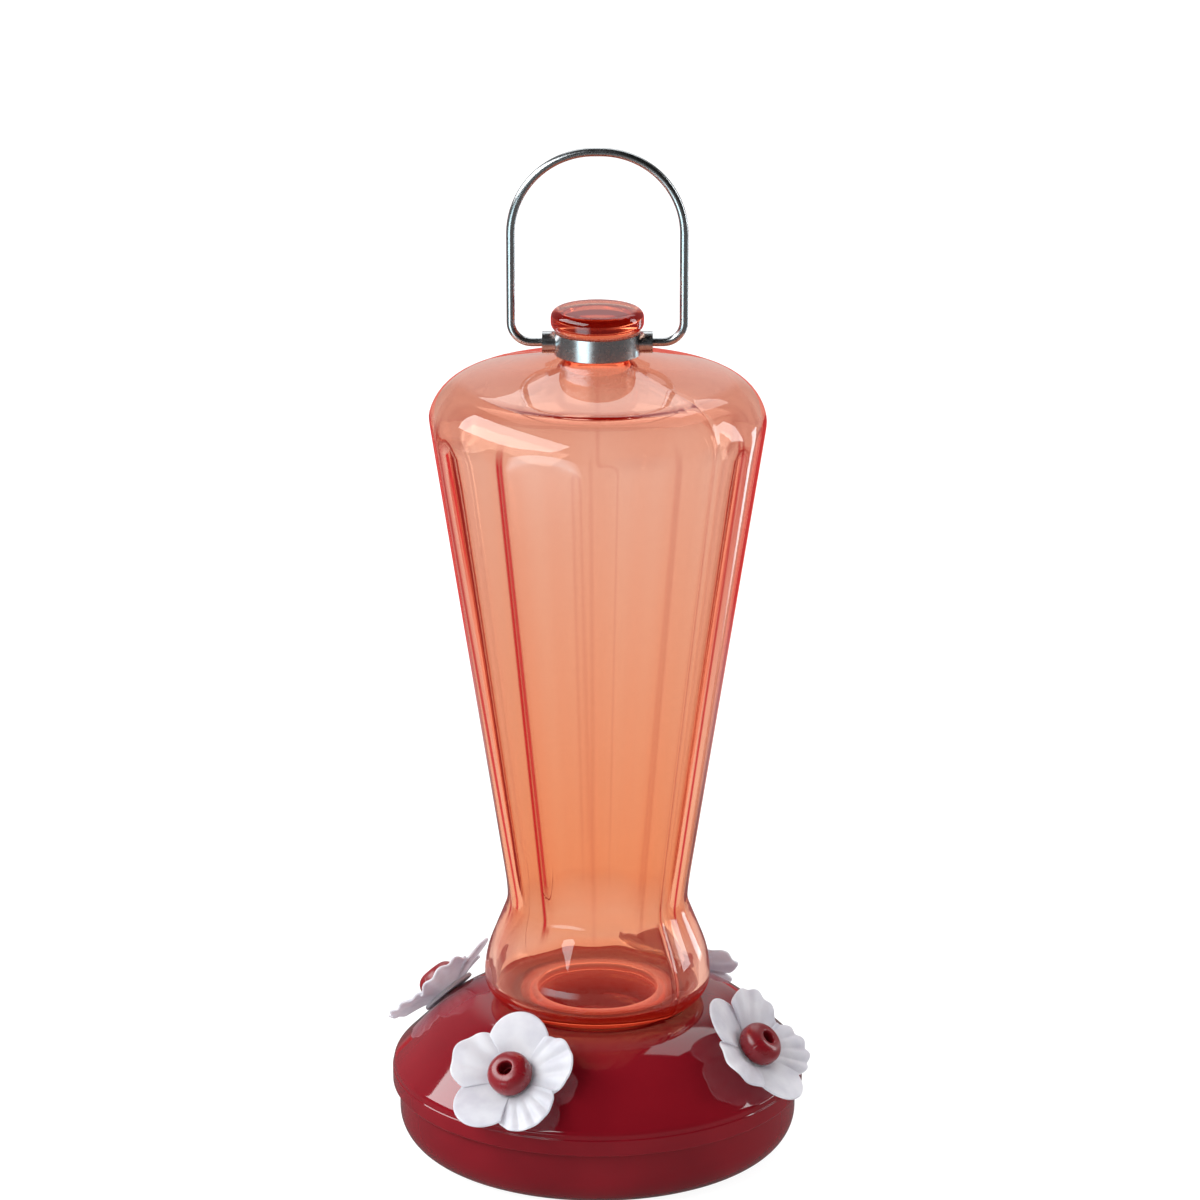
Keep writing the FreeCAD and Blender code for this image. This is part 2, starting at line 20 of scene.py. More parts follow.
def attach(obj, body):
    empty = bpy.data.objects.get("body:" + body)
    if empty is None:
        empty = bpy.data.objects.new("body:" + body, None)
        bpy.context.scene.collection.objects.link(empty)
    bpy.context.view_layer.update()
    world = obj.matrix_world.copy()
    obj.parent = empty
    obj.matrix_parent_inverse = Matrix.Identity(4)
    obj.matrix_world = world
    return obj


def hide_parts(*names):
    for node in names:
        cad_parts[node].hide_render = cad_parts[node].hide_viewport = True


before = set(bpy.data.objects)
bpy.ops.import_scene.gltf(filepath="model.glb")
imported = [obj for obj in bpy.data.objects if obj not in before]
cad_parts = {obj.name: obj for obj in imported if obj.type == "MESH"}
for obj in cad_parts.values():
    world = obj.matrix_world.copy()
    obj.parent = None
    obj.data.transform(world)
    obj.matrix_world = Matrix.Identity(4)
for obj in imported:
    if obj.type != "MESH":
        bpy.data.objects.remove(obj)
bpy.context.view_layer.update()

MM = 0.001
PHOTO_PIXELS = 1200.0
SENSOR_MM = 36.0
SEED = 17
CREASE = 38.0
BEND_STEP = 0.14
LONG_SIDE = 25.0
TOUCH = 1e-7
SAME = 0.05
# Name of the stored share of painted shade: dark red lines on the bottle.
PAINTED_SHADE = "painted_shade_lines"
LIP = "lip_light"
MATH = "ShaderNodeMath"
RANGE = "ShaderNodeMapRange"
MIX = "ShaderNodeMix"

logging.basicConfig(level=logging.INFO, format="%(name)s: %(message)s")
LOG = logging.getLogger("feeder")

Corner = tuple[float, float, float]
Span = tuple[float, float]
Pair = tuple[np.ndarray, np.ndarray]
Bend = Callable[[np.ndarray, np.ndarray, np.ndarray], Pair]


class Ends(Enum):
    """How the rows of a surface end."""

    LOOP = "the last row joins the first"
    APART = "the end rows lie on the axis, or are edges that another skin meets"


@dataclass(frozen=True)
class Fade:
    """A value that goes from low to high while another goes from start to stop."""

    start: float
    stop: float
    low: float = 0.0
    high: float = 1.0
    smooth: bool = False

    def settings(self) -> dict[str, float | str]:
        """The settings that make a Map Range node do this."""
        return {"From Min": self.start, "From Max": self.stop, "To Min": self.low, "To Max": self.high,
                "interpolation_type": "SMOOTHSTEP" if self.smooth else "LINEAR"}


def linear(hex_colour: str) -> tuple[float, float, float, float]:
    """Turn an sRGB hex colour into a linear one.

    Args:
        hex_colour: six hex digits after a hash.

    Returns:
        Red, green, blue and an alpha of one, each from 0 to 1.
    """
    parts = [int(hex_colour[i:i + 2], 16) / 255 for i in (1, 3, 5)]
    red, green, blue = (c / 12.92 if c <= 0.04045 else ((c + 0.055) / 1.055) ** 2.4 for c in parts)
    return red, green, blue, 1.0


def add_node(tree: bpy.types.NodeTree, kind: str, settings: dict | None = None, links: dict | None = None,
             stops: Sequence[tuple[float, str]] = ()) -> bpy.types.Node:
    """Add one shader node.

    Args:
        tree: the node tree.
        kind: the node's type name.
        settings: values for its properties, or for its sockets by name or number.
        links: what feeds its sockets, by the socket's name or number: an output socket, or a node
            whose first output is meant.
        stops: places and hex colours along a colour ramp.

    Returns:
        The new node.
    """
    node = tree.nodes.new(kind)
    for key, setting in (settings or {}).items():
        if isinstance(key, str) and hasattr(node, key):
            setattr(node, key, setting)
        else:
            node.inputs[key].default_value = setting
    for key, source in (links or {}).items():
        output = source.outputs[0] if isinstance(source, bpy.types.Node) else source
        tree.links.new(output, node.inputs[key])
    while stops and len(node.color_ramp.elements) < len(stops):
        node.color_ramp.elements.new(0.5)
    for number, (place, colour) in enumerate(stops):
        node.color_ramp.elements[number].position = place
        node.color_ramp.elements[number].color = linear(colour)
    return node


def new_material(name: str) -> tuple[bpy.types.Material, bpy.types.NodeTree, bpy.types.Node]:
    """Start a material that holds only its output node.

    Args:
        name: its name.

    Returns:
        The material, its node tree and the output node.
    """
    material = bpy.data.materials.new(name)
    material.use_nodes = True
    tree = material.node_tree
    tree.nodes.clear()
    return material, tree, tree.nodes.new("ShaderNodeOutputMaterial")


def clouds(tree: bpy.types.NodeTree, size_mm: float, detail: float) -> bpy.types.Node:
    """Make soft noise of a real size that stays with the piece.

    Args:
        tree: the node tree.
        size_mm: width of one cloud.
        detail: octaves of finer noise.

    Returns:
        The noise node.
    """
    place = add_node(tree, "ShaderNodeTexCoord")
    return add_node(tree, "ShaderNodeTexNoise", {"Scale": 1 / (size_mm * MM), "Detail": detail},
                    {"Vector": place.outputs["Object"]})


def ripple(tree: bpy.types.NodeTree, size_mm: float, height_mm: float,
           detail: float = 2.0) -> bpy.types.Node:
    """Make a bump from soft noise of a real size.

    Args:
        tree: the node tree.
        size_mm: width of one swell.
        height_mm: its height.
        detail: octaves of finer noise.

    Returns:
        The bump node.
    """
    return add_node(tree, "ShaderNodeBump", {"Strength": 1.0, "Distance": height_mm * MM},
                    {"Height": clouds(tree, size_mm, detail)})


@dataclass(frozen=True)
class GlossPolystyrene:
    """Injection-moulded high-gloss polystyrene, dyed through.

    The polished mould leaves a mirror skin with a faint swell, as the wall sinks while it cools,
    and a haze that comes and goes over it.
    """

    name: str = "gloss_red_polystyrene"
    colour: str = "#7F131E"
    deep_colour: str = "#700E19"
    drift_mm: float = 35.7
    drift_stops: Span = (0.35, 0.65)
    roughness: float = 0.055
    haze_mm: float = 6.25
    haze_stops: Span = (0.3, 0.7)
    haze_shares: Span = (0.8, 1.5)
    ior: float = 1.59
    swell_mm: float = 14.0
    swell_height_mm: float = 0.03

    def material(self) -> bpy.types.Material:
        """Build the finish.

        Returns:
            The material.
        """
        material, tree, output = new_material(self.name)
        colour = add_node(tree, "ShaderNodeValToRGB", links={0: clouds(tree, self.drift_mm, 2.0)},
                          stops=list(zip(self.drift_stops, (self.deep_colour, self.colour))))
        low, high = (self.roughness * share for share in self.haze_shares)
        rough = add_node(tree, RANGE, Fade(*self.haze_stops, low, high).settings(),
                         {0: clouds(tree, self.haze_mm, 4.0)})
        shader = add_node(tree, "ShaderNodeBsdfPrincipled", {"IOR": self.ior},
                          {"Base Color": colour, "Roughness": rough,
                           "Normal": ripple(tree, self.swell_mm, self.swell_height_mm)})
        tree.links.new(shader.outputs[0], output.inputs["Surface"])
        return material


@dataclass(frozen=True)
class SatinPolyethylene:
    """Injection-moulded white polyethylene: a waxy, slightly see-through petal skin.

    The mould's grain is finer than this, and is drawn coarser so that it shows.
    """

    name: str = "satin_white_polyethylene"
    colour: str = "#EDECF0"
    shade_colour: str = "#DEDCE3"
    drift_mm: float = 8.33
    drift_stops: Span = (0.35, 0.6)
    roughness: float = 0.42
    ior: float = 1.51
    grain_mm: float = 0.6
    grain_height_mm: float = 0.012
    glow: float = 0.12
    glow_reach: tuple[float, float, float] = (0.6, 0.5, 0.5)
    glow_mm: float = 1.2
    see_through: float = 0.4

    def material(self) -> bpy.types.Material:
        """Build the finish.

        Returns:
            The material.
        """
        material, tree, output = new_material(self.name)
        colour = add_node(tree, "ShaderNodeValToRGB", links={0: clouds(tree, self.drift_mm, 3.0)},
                          stops=list(zip(self.drift_stops, (self.shade_colour, self.colour))))
        shader = add_node(tree, "ShaderNodeBsdfPrincipled",
                          {"IOR": self.ior, "Roughness": self.roughness, "Subsurface Weight": self.glow,
                           "Subsurface Radius": self.glow_reach, "Subsurface Scale": self.glow_mm * MM},
                          {"Base Color": colour, "Normal": ripple(tree, self.grain_mm, self.grain_height_mm)})
        through = add_node(tree, "ShaderNodeBsdfTranslucent", links={"Color": colour})
        mix = add_node(tree, "ShaderNodeMixShader", {0: self.see_through}, {1: shader, 2: through})
        tree.links.new(mix.outputs[0], output.inputs["Surface"])
        return material


@dataclass(frozen=True)
class PressedGlass:
    """Soda-lime bottle glass with a clear coral tint, blown in a panelled mould.

    The tint is in the glass, so it deepens where the wall is seen edge on, and a sprayed tint on
    the outside is deeper towards the neck. Over the bulge the tint is paler, a painted highlight, and
    at the mouth it is pale grey, partly the clearer glass there and partly a painted reflection. Dark
    red lines of painted shade are mixed in where a stored share says. The cooled skin has long soft
    waves. A little light of its own, a painted glow, stands in for light that turns many times inside
    the wall, most of all in the neck's lip.
    """

    name: str = "coral_soda_lime_glass"
    ior: float = 1.5
    # Tints by height above the mouth: pale grey at the mouth, partly clear glass and partly painted
    # reflection; pale over the bulge, a painted highlight.
    neck_tints_and_painted_sheen: tuple[tuple[float, str], ...] = (
        (0.0, "#DADAE2"), (6.0, "#DADAE2"), (18.0, "#E3BCA0"), (27.0, "#E3BCA0"), (33.0, "#E3DBD4"),
        (41.0, "#E3DBD4"))
    waist_tint: str = "#E2BF9F"
    top_tint: str = "#E1D3C9"
    # Colour of the painted shade lines on the bottle.
    painted_shade_colour: str = "#A00818"
    depth_colour: str = "#F6C9AC"
    depth_density: float = 140.0
    gathered_light: str = "#FF3020"
    gathered_level: float = 0.055
    lip_light: str = "#F5A48C"
    lip_level: float = 0.5
    wave_mm: float = 22.0
    wave_height_mm: float = 0.05

    def material(self, low: float, waist: float, high: float) -> bpy.types.Material:
        """Build the finish.

        Args:
            low: height in metres of the mouth, where the glass is clear.
            waist: height in metres where the tint is deepest.
            high: height in metres where it is lightest.

        Returns:
            The material.
        """
        material, tree, output = new_material(self.name)
        place = add_node(tree, "ShaderNodeTexCoord")
        axes = add_node(tree, "ShaderNodeSeparateXYZ", links={0: place.outputs["Object"]})
        share = add_node(tree, RANGE, Fade(low, high).settings(), {0: axes.outputs["Z"]})
        stops = [(height * MM / (high - low), colour) for height, colour in self.neck_tints_and_painted_sheen]
        stops += [((waist - low) / (high - low), self.waist_tint), (1.0, self.top_tint)]
        tint = add_node(tree, "ShaderNodeValToRGB", links={0: share}, stops=stops)
        # Painted shade: the stored share mixes dark red lines into the tint.
        painted_shade = add_node(tree, "ShaderNodeAttribute", {"attribute_name": PAINTED_SHADE})
        lined = add_node(tree, MIX, {"data_type": "RGBA", 7: linear(self.painted_shade_colour)},
                         {0: painted_shade.outputs["Fac"], 6: tint})
        lip = add_node(tree, "ShaderNodeAttribute", {"attribute_name": LIP})
        light = add_node(tree, MIX, {"data_type": "RGBA", 6: linear(self.gathered_light),
                                     7: linear(self.lip_light)}, {0: lip.outputs["Fac"]})
        level = add_node(tree, MIX, {"data_type": "FLOAT", 2: self.gathered_level, 3: self.lip_level},
                         {0: lip.outputs["Fac"]})
        shader = add_node(tree, "ShaderNodeBsdfPrincipled",
                          {"IOR": self.ior, "Roughness": 0.0, "Transmission Weight": 1.0},
                          {"Base Color": lined.outputs[2], "Emission Color": light.outputs[2],
                           "Emission Strength": level,
                           "Normal": ripple(tree, self.wave_mm, self.wave_height_mm, 1.0)})
        depth = add_node(tree, "ShaderNodeVolumeAbsorption",
                         {"Color": linear(self.depth_colour), "Density": self.depth_density})
        tree.links.new(shader.outputs[0], output.inputs["Surface"])
        tree.links.new(depth.outputs[0], output.inputs["Volume"])
        return material


@dataclass(frozen=True)
class DrawnSteel:
    """Steel wire drawn through a die, or strip rolled flat: bright, with a haze and a fine grain.

    The die's lines are finer than this grain, which is drawn coarser so that it shows.
    """

    name: str = "drawn_steel"
    colour: str = "#B9B9BB"
    roughness: float = 0.24
    haze_mm: float = 2.5
    haze_shares: Span = (0.7, 1.5)
    grain_mm: float = 0.35
    grain_height_mm: float = 0.01

    def material(self) -> bpy.types.Material:
        """Build the finish.

        Returns:
            The material.
        """
        material, tree, output = new_material(self.name)
        low, high = (self.roughness * share for share in self.haze_shares)
        rough = add_node(tree, RANGE, Fade(0.0, 1.0, low, high).settings(),
                         {0: clouds(tree, self.haze_mm, 4.0)})
        shader = add_node(tree, "ShaderNodeBsdfPrincipled",
                          {"Base Color": linear(self.colour), "Metallic": 1.0},
                          {"Roughness": rough, "Normal": ripple(tree, self.grain_mm, self.grain_height_mm)})
        tree.links.new(shader.outputs[0], output.inputs["Surface"])
        return material


def path_through(corners: Sequence[Corner], step: float, closed: bool, stride: float = 1.0) -> np.ndarray:
    """Points along straight sides through corners, with round bends.

    Each bend is the arc of the corner's radius that touches both sides: it leaves them at
    radius / tan(half the angle between them), and its middle lies on the angle's bisector.

    Args:
        corners: across, up and radius of each corner, in millimetres.
        step: longest distance between points.
        closed: whether the last side leads back to the first corner.
        stride: how many times longer it is on a long straight side.

    Returns:
        An array of points (across, up).
    """
    spots = np.array([c[:2] for c in corners], float)
    count = len(corners)
    bends = []
    for i, (_, _, radius) in enumerate(corners):
        if radius == 0 or (not closed and i in (0, count - 1)):
            bends.append(spots[i][None])
            continue
        back = spots[i - 1] - spots[i]
        ahead = spots[(i + 1) % count] - spots[i]
        back, ahead = back / np.linalg.norm(back), ahead / np.linalg.norm(ahead)
        half = math.acos(float(np.clip(back @ ahead, -1, 1))) / 2
        middle = spots[i] + (back + ahead) / np.linalg.norm(back + ahead) * radius / math.sin(half)
        first = spots[i] + back * radius / math.tan(half) - middle
        sweep = (math.pi - 2 * half) * np.sign(back[1] * ahead[0] - back[0] * ahead[1])
        pieces = max(3, int(math.ceil(radius * abs(sweep) / step)), int(abs(sweep) / BEND_STEP))
        angle = math.atan2(first[1], first[0]) + np.linspace(0, sweep, pieces + 1)
        bends.append(middle + radius * np.stack([np.cos(angle), np.sin(angle)], 1))
    run = []
    for i in range(count if closed else count - 1):
        start, stop = bends[i][-1], bends[(i + 1) % count][0]
        side = float(np.linalg.norm(stop - start))
        pieces = max(1, math.ceil(side / (step * stride if side > LONG_SIDE else step)))
        run.append(bends[i][:-1])
        run.append(start + (stop - start) * np.linspace(0, 1, pieces + 1)[:-1, None])
    if not closed:
        run.append(bends[-1])
    return np.concatenate(run)


def even_angles(count: int) -> np.ndarray:
    """Angles of evenly spaced columns, in radians."""
    return np.linspace(0, 2 * np.pi, count, endpoint=False)


def swell(x: np.ndarray, half: float) -> np.ndarray:
    """A round hump: the cosine squared of x within half on each side of 0, and 0 beyond."""
    return np.where(np.abs(x) < half, np.cos(np.clip(x / half, -1, 1) * np.pi / 2) ** 2, 0.0)


def wrapped(angle: np.ndarray) -> np.ndarray:
    """The same angle between minus pi and pi."""
    return (angle + np.pi) % (2 * np.pi) - np.pi


def from_either_side(turn: np.ndarray, azimuth: float) -> np.ndarray:
    """Angle from a direction in degrees or from the one opposite to it, whichever is nearer."""
    return wrapped(2 * (turn - math.radians(azimuth))) / 2


def ramped(x: np.ndarray, low: float, high: float) -> np.ndarray:
    """A smooth step: 0 below low, 1 above high, and 3t^2 - 2t^3 between."""
    t = np.clip((x - low) / (high - low), 0, 1)
    return t * t * (3 - 2 * t)


def place_piece(name: str, data: bpy.types.ID) -> bpy.types.Object:
    """Make an object of a mesh, lamp or camera, at the origin, and add it to the scene."""
    piece = bpy.data.objects.new(name, data)
    bpy.context.scene.collection.objects.link(piece)
    return piece


def knit(mesh: bpy.types.Mesh, crease: float, merge: float = 0.0,
         others: Sequence[bpy.types.Object] = ()) -> None:
    """Add other pieces to a mesh, merge points that meet, and smooth all but the sharp edges.

    Where points are merged, the faces are turned outwards as well.

    Args:
        mesh: the mesh, changed in place.
        crease: angle in degrees above which an edge stays sharp.
        merge: distance in metres within which points become one, or 0 to leave them.
        others: pieces whose meshes are added, and which are then deleted.
    """
    work = bmesh.new()
    work.from_mesh(mesh)
    for other in others:
        work.from_mesh(other.data)
    if merge:
        bmesh.ops.remove_doubles(work, verts=work.verts, dist=merge)
        bmesh.ops.recalc_face_normals(work, faces=work.faces)
    work.to_mesh(mesh)
    work.free()
    mesh.polygons.foreach_set("use_smooth", np.ones(len(mesh.polygons), bool))
    mesh.set_sharp_from_angle(angle=math.radians(crease))
    mesh.update()
    for other in others:
        bpy.data.objects.remove(other)


def surface(name: str, grid: np.ndarray, ends: Ends) -> bpy.types.Object:
    """Make an object from a grid of points whose last column joins the first.

    Args:
        name: the piece's name.
        grid: rows by columns by three, in metres.
        ends: how the rows end.

    Returns:
        The object, at the origin, with smooth faces that point outwards.
    """
    rows, columns = grid.shape[:2]
    index = np.arange(rows * columns).reshape(rows, columns)
    if ends is Ends.LOOP:
        index = np.concatenate([index, index[:1]])
    index = np.concatenate([index, index[:, :1]], axis=1)
    quads = np.stack([index[:-1, :-1], index[:-1, 1:], index[1:, 1:], index[1:, :-1]], -1)
    mesh = bpy.data.meshes.new(name)
    mesh.from_pydata(grid.reshape(-1, 3), [], quads.reshape(-1, 4))
    knit(mesh, CREASE, TOUCH)
    return place_piece(name, mesh)


def lathe(name: str, profile: np.ndarray, angles: np.ndarray, ends: Ends,
          bend: Bend | None = None) -> bpy.types.Object:
    """Turn a profile about Z: x = r cos(angle), y = r sin(angle), z = z.

    Args:
        name: the piece's name.
        profile: points (radius, height) in millimetres.
        angles: the columns' angles in radians.
        ends: how the profile ends.
        bend: gives the radius and height of every point from its radius, height and angle.

    Returns:
        The object.
    """
    radius, turn = np.meshgrid(profile[:, 0], angles, indexing="ij")
    height = np.repeat(profile[:, 1:2], len(angles), axis=1)
    if bend is not None:
        radius, height = bend(radius, height, turn)
    grid = np.stack([radius * np.cos(turn), radius * np.sin(turn), height], -1) * MM
    return surface(name, grid, ends)


def baked(piece: bpy.types.Object) -> bpy.types.Mesh:
    """Apply a piece's modifiers.

    Args:
        piece: the piece, whose modifiers are taken off.

    Returns:
        A new mesh that has them applied.
    """
    bpy.context.view_layer.update()
    result = bpy.data.meshes.new_from_object(piece.evaluated_get(bpy.context.evaluated_depsgraph_get()))
    piece.modifiers.clear()
    return result


def bored(piece: bpy.types.Object, cutters: Sequence[bpy.types.Object]) -> None:
    """Cut closed shapes out of a piece.

    Args:
        piece: the piece, changed in place.
        cutters: the shapes, which are then deleted.
    """
    for cutter in cutters:
        cut = piece.modifiers.new("cut", "BOOLEAN")
        cut.operation = "DIFFERENCE"
        cut.solver = "EXACT"
        cut.object = cutter
    piece.data = baked(piece)
    piece.data.set_sharp_from_angle(angle=math.radians(CREASE))
    for cutter in cutters:
        bpy.data.objects.remove(cutter)


def store(mesh: bpy.types.Mesh, name: str, shares: np.ndarray) -> None:
    """Keep one value for each point of a mesh, for its material to read."""
    layer = mesh.attributes.new(name, "FLOAT", "POINT")
    layer.data.foreach_set("value", shares.astype(np.float32))


def settle(piece: bpy.types.Object, body: str, slot: str, material: bpy.types.Material, *nodes: str) -> None:
    """Dress a finished piece and hand it to the frame.

    Args:
        piece: the piece, in place.
        body: the body that it rides on.
        slot: the record's material slot; not used.
        material: its finish.
        nodes: the nodes that it stands for.
    """
    piece.data.materials.clear()
    piece.data.materials.append(material)
    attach(piece, body)
    if nodes:
        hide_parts(*nodes)
    LOG.info("%s on %s, %d faces", piece.name, body, len(piece.data.polygons))


@dataclass(frozen=True)
class Thread:
    """A run of the coarse right-handed screw thread that the bottle's neck and the cup share.

    It runs between two heights above the floor, and the front height is a crest's at the front.
    """

    low: float
    high: float
    fade: float = 0.25
    pitch: float = 4.3
    front_height: float = 29.3
    front: float = -90.0

    def crest(self, height: np.ndarray, turn: np.ndarray, half: float) -> np.ndarray:
        """Height of the ridge at each point, from 0 to 1.

        The crest climbs one pitch a turn, so the distance to it is the height less the crest's
        height at that angle, taken to the nearest whole pitch, and the ridge is a hump of that
        distance. It fades out above and below the thread's own run.

        Args:
            height: height of each point.
            turn: angle of each point.
            half: half the width of a ridge.

        Returns:
            An array from 0 to 1.
        """
        climb = self.front_height + self.pitch * wrapped(turn - math.radians(self.front)) / (2 * np.pi)
        nearest = climb + np.round((height - climb) / self.pitch) * self.pitch
        live = ramped(nearest, self.low, self.low + self.fade)
        live = live * (1 - ramped(nearest, self.high - self.fade, self.high))
        return swell(height - nearest, half) * live


@dataclass
class Dish:
    """The dish and its screw cup, one moulding."""

    radius: float = 59.7
    rim: float = 21.5
    under_round: float = 10.0
    wall: float = 1.8
    floor: float = 2.0
    rim_round: float = 0.8
    cup_radius: float = 24.1
    cup_bore: float = 22.4
    cup_rim: float = 40.4
    cup_round: float = 0.45
    foot_round: float = 1.2
    foot_bead: float = 0.45
    foot_bead_top: float = 1.3
    foot_bead_end: float = 1.9
    foot_bead_round: float = 0.36
    foot_bead_fillet: float = 0.48
    slot_lift: float = 0.02
    slot_width: float = 7.0
    slot_height: float = 10.0
    slot_azimuths: Span = (-146.0, 34.0)
    slot_reach: Span = (18.0, 27.0)
    slot_crown: float = 0.9
    thread: Thread = Thread(low=23.0, high=34.6)
    ridge_half: float = 0.9
    ridge_height: float = 0.7
    ridge_azimuth: float = 48.0
    ridge_spread: float = 60.0
    ridge_share: float = 0.22
    rim_step: float = 0.35
    rim_step_drop: float = 2.5
    rim_step_side: float = 0.012
    rim_step_reach: float = 0.3
    columns: int = 288
    step: float = 1.1

    def profile(self) -> np.ndarray:
        """The wall's closed outline: underside, dish wall, floor, cup wall and the cup's floor.

        Returns:
            Points (radius, height).
        """
        inner = self.radius - self.wall
        bead = self.cup_radius + self.foot_bead
        return path_through([
            (0, 0, 0), (self.radius, 0, self.under_round), (self.radius, self.rim, self.rim_round),
            (inner, self.rim, self.rim_round), (inner, self.floor, self.under_round - self.wall),
            (bead, self.floor, self.foot_bead_round),
            (bead, self.floor + self.foot_bead_top, self.foot_bead_round),
            (self.cup_radius, self.floor + self.foot_bead_end, self.foot_bead_fillet),
            (self.cup_radius, self.cup_rim, self.cup_round), (self.cup_bore, self.cup_rim, self.cup_round),
            (self.cup_bore, self.floor, self.foot_round), (0, self.floor, 0)], self.step, closed=False)

    def bend(self, radius: np.ndarray, height: np.ndarray, turn: np.ndarray) -> Pair:
        """Add the cup's thread ridges and the small step of its mould halves.

        The ridges stand inwards from the bore over two opposite stretches. The rim of the
        right-hand half is a little higher.

        Args:
            radius: radius of each point.
            height: height of each point.
            turn: angle of each point.

        Returns:
            The new radius and height.
        """
        bore = np.abs(radius - self.cup_bore) < SAME
        spread = swell(from_either_side(turn, self.ridge_azimuth), math.radians(self.ridge_spread))
        ridge = self.thread.crest(height, turn, self.ridge_half) * (spread > self.ridge_share) * bore
        right = ramped(np.cos(turn), -self.rim_step_side, self.rim_step_side)
        lift = self.rim_step * right * ramped(height, self.cup_rim - self.rim_step_drop, self.cup_rim)
        cup = radius < self.cup_radius + self.rim_step_reach
        return radius - self.ridge_height * ridge, height + lift * cup

    def slot_cutter(self, azimuth: float) -> bpy.types.Object:
        """A bar with a rounded top, square to the cup's wall, that cuts one feed slot.

        Args:
            azimuth: direction of the slot in degrees.

        Returns:
            The cutter.
        """
        half = self.slot_width / 2
        foot = self.floor + self.slot_lift
        crest = self.floor + self.slot_height
        crown = half * self.slot_crown
        outline = path_through([(-half, foot, 0), (half, foot, 0), (half, crest, crown),
                                (-half, crest, crown)], self.step, closed=True)
        away = np.repeat(np.array(self.slot_reach)[:, None], len(outline), axis=1)
        side = np.repeat(outline[None, :, 0], 2, axis=0)
        up = np.repeat(outline[None, :, 1], 2, axis=0)
        c, s = math.cos(math.radians(azimuth)), math.sin(math.radians(azimuth))
        grid = np.stack([away * c - side * s, away * s + side * c, up], -1) * MM
        near = np.arange(len(outline))
        far = near + len(outline)
        quads = np.stack([near, np.roll(near, -1), np.roll(far, -1), far], -1)
        mesh = bpy.data.meshes.new("slot_cutter")
        mesh.from_pydata(grid.reshape(-1, 3), [], quads.tolist() + [near.tolist(), far.tolist()])
        knit(mesh, CREASE, TOUCH)
        return place_piece("slot_cutter", mesh)

    def build(self, material: bpy.types.Material) -> None:
        """Make the moulding, cut its slots and dress it."""
        piece = lathe("dish_moulding", self.profile(), even_angles(self.columns), Ends.APART, self.bend)
        bored(piece, [self.slot_cutter(azimuth) for azimuth in self.slot_azimuths])
        settle(piece, "base", "moulded_red", material, "base_dish")


@dataclass
class Cover:
    """The domed cover with its lip, hole and collar."""

    top: float = 44.6
    hole: float = 22.4
    hole_round: float = 1.0
    dome_corner: float = 42.1
    dome_round: float = 31.1
    dome_radius: float = 61.5
    dome_base: float = 25.2
    edge_round: float = 2.5
    band_top: float = 23.4
    band_drop: float = 0.35
    band_round: float = 0.25
    lip_outer: float = 61.8
    lip_inner: float = 60.0
    lip_bottom: float = 18.1
    lip_rounds: Span = (0.8, 0.6)
    inner_base: float = 24.15
    inner_round: float = 1.2
    wall: float = 1.8
    inner_corner: float = 41.35
    collar_outer: float = 26.0
    collar_bore: float = 24.4
    collar_root: float = 0.8
    collar_end: float = 30.3
    collar_round: float = 0.3
    ledge: float = 40.4
    columns: int = 288
    step: float = 1.1

    def profile(self) -> np.ndarray:
        """The shell's closed outline: flat top, dome, band, lip, inside and collar.

        Returns:
            Points (radius, height).
        """
        ceiling = self.top - self.wall
        outer_round, inner_round = self.lip_rounds
        return path_through([
            (self.hole, self.top, self.hole_round), (self.dome_corner, self.top, self.dome_round),
            (self.dome_radius, self.dome_base, self.edge_round),
            (self.dome_radius, self.band_top, self.band_round),
            (self.lip_outer, self.band_top - self.band_drop, self.band_round),
            (self.lip_outer, self.lip_bottom, outer_round), (self.lip_inner, self.lip_bottom, inner_round),
            (self.lip_inner, self.inner_base, self.inner_round),
            (self.inner_corner, ceiling, self.dome_round - self.wall),
            (self.collar_outer, ceiling, self.collar_root),
            (self.collar_outer, self.collar_end, self.collar_round),
            (self.collar_bore, self.collar_end, self.collar_round),
            (self.collar_bore, self.ledge, 0), (self.hole, self.ledge, 0)], self.step, closed=True)

    def build(self, material: bpy.types.Material) -> None:
        """Make the shell and dress it."""
        piece = lathe("cover_shell", self.profile(), even_angles(self.columns), Ends.LOOP)
        settle(piece, "cover", "moulded_red", material, "top_cover")


@dataclass
class PortSeat:
    """Where a port stands on the dome's side, as a frame whose +Z is square to it."""

    number: int
    circle: float = 51.2
    height: float = 35.49
    slope: float = 45.0
    first: float = -118.0
    turn: float = 44.0
    further_turn: float = 17.0

    def place(self, spun: bool) -> Matrix:
        """The seat's placement: turned about its own stem, leant out, moved out and turned about Z.

        Args:
            spun: whether the flower's own turn is wanted.

        Returns:
            The placement, in metres.
        """
        round_cover = Matrix.Rotation(math.radians(self.first + 90.0 * (self.number - 1)), 4, "Z")
        shift = Matrix.Translation(Vector((self.circle, 0, self.height)) * MM)
        lean = Matrix.Rotation(math.radians(self.slope), 4, "Y")
        own_turn = self.turn + (self.further_turn if self.number % 2 == 0 else 0.0)
        spin = Matrix.Rotation(math.radians(own_turn) if spun else 0.0, 4, "Z")
        return round_cover @ shift @ lean @ spin


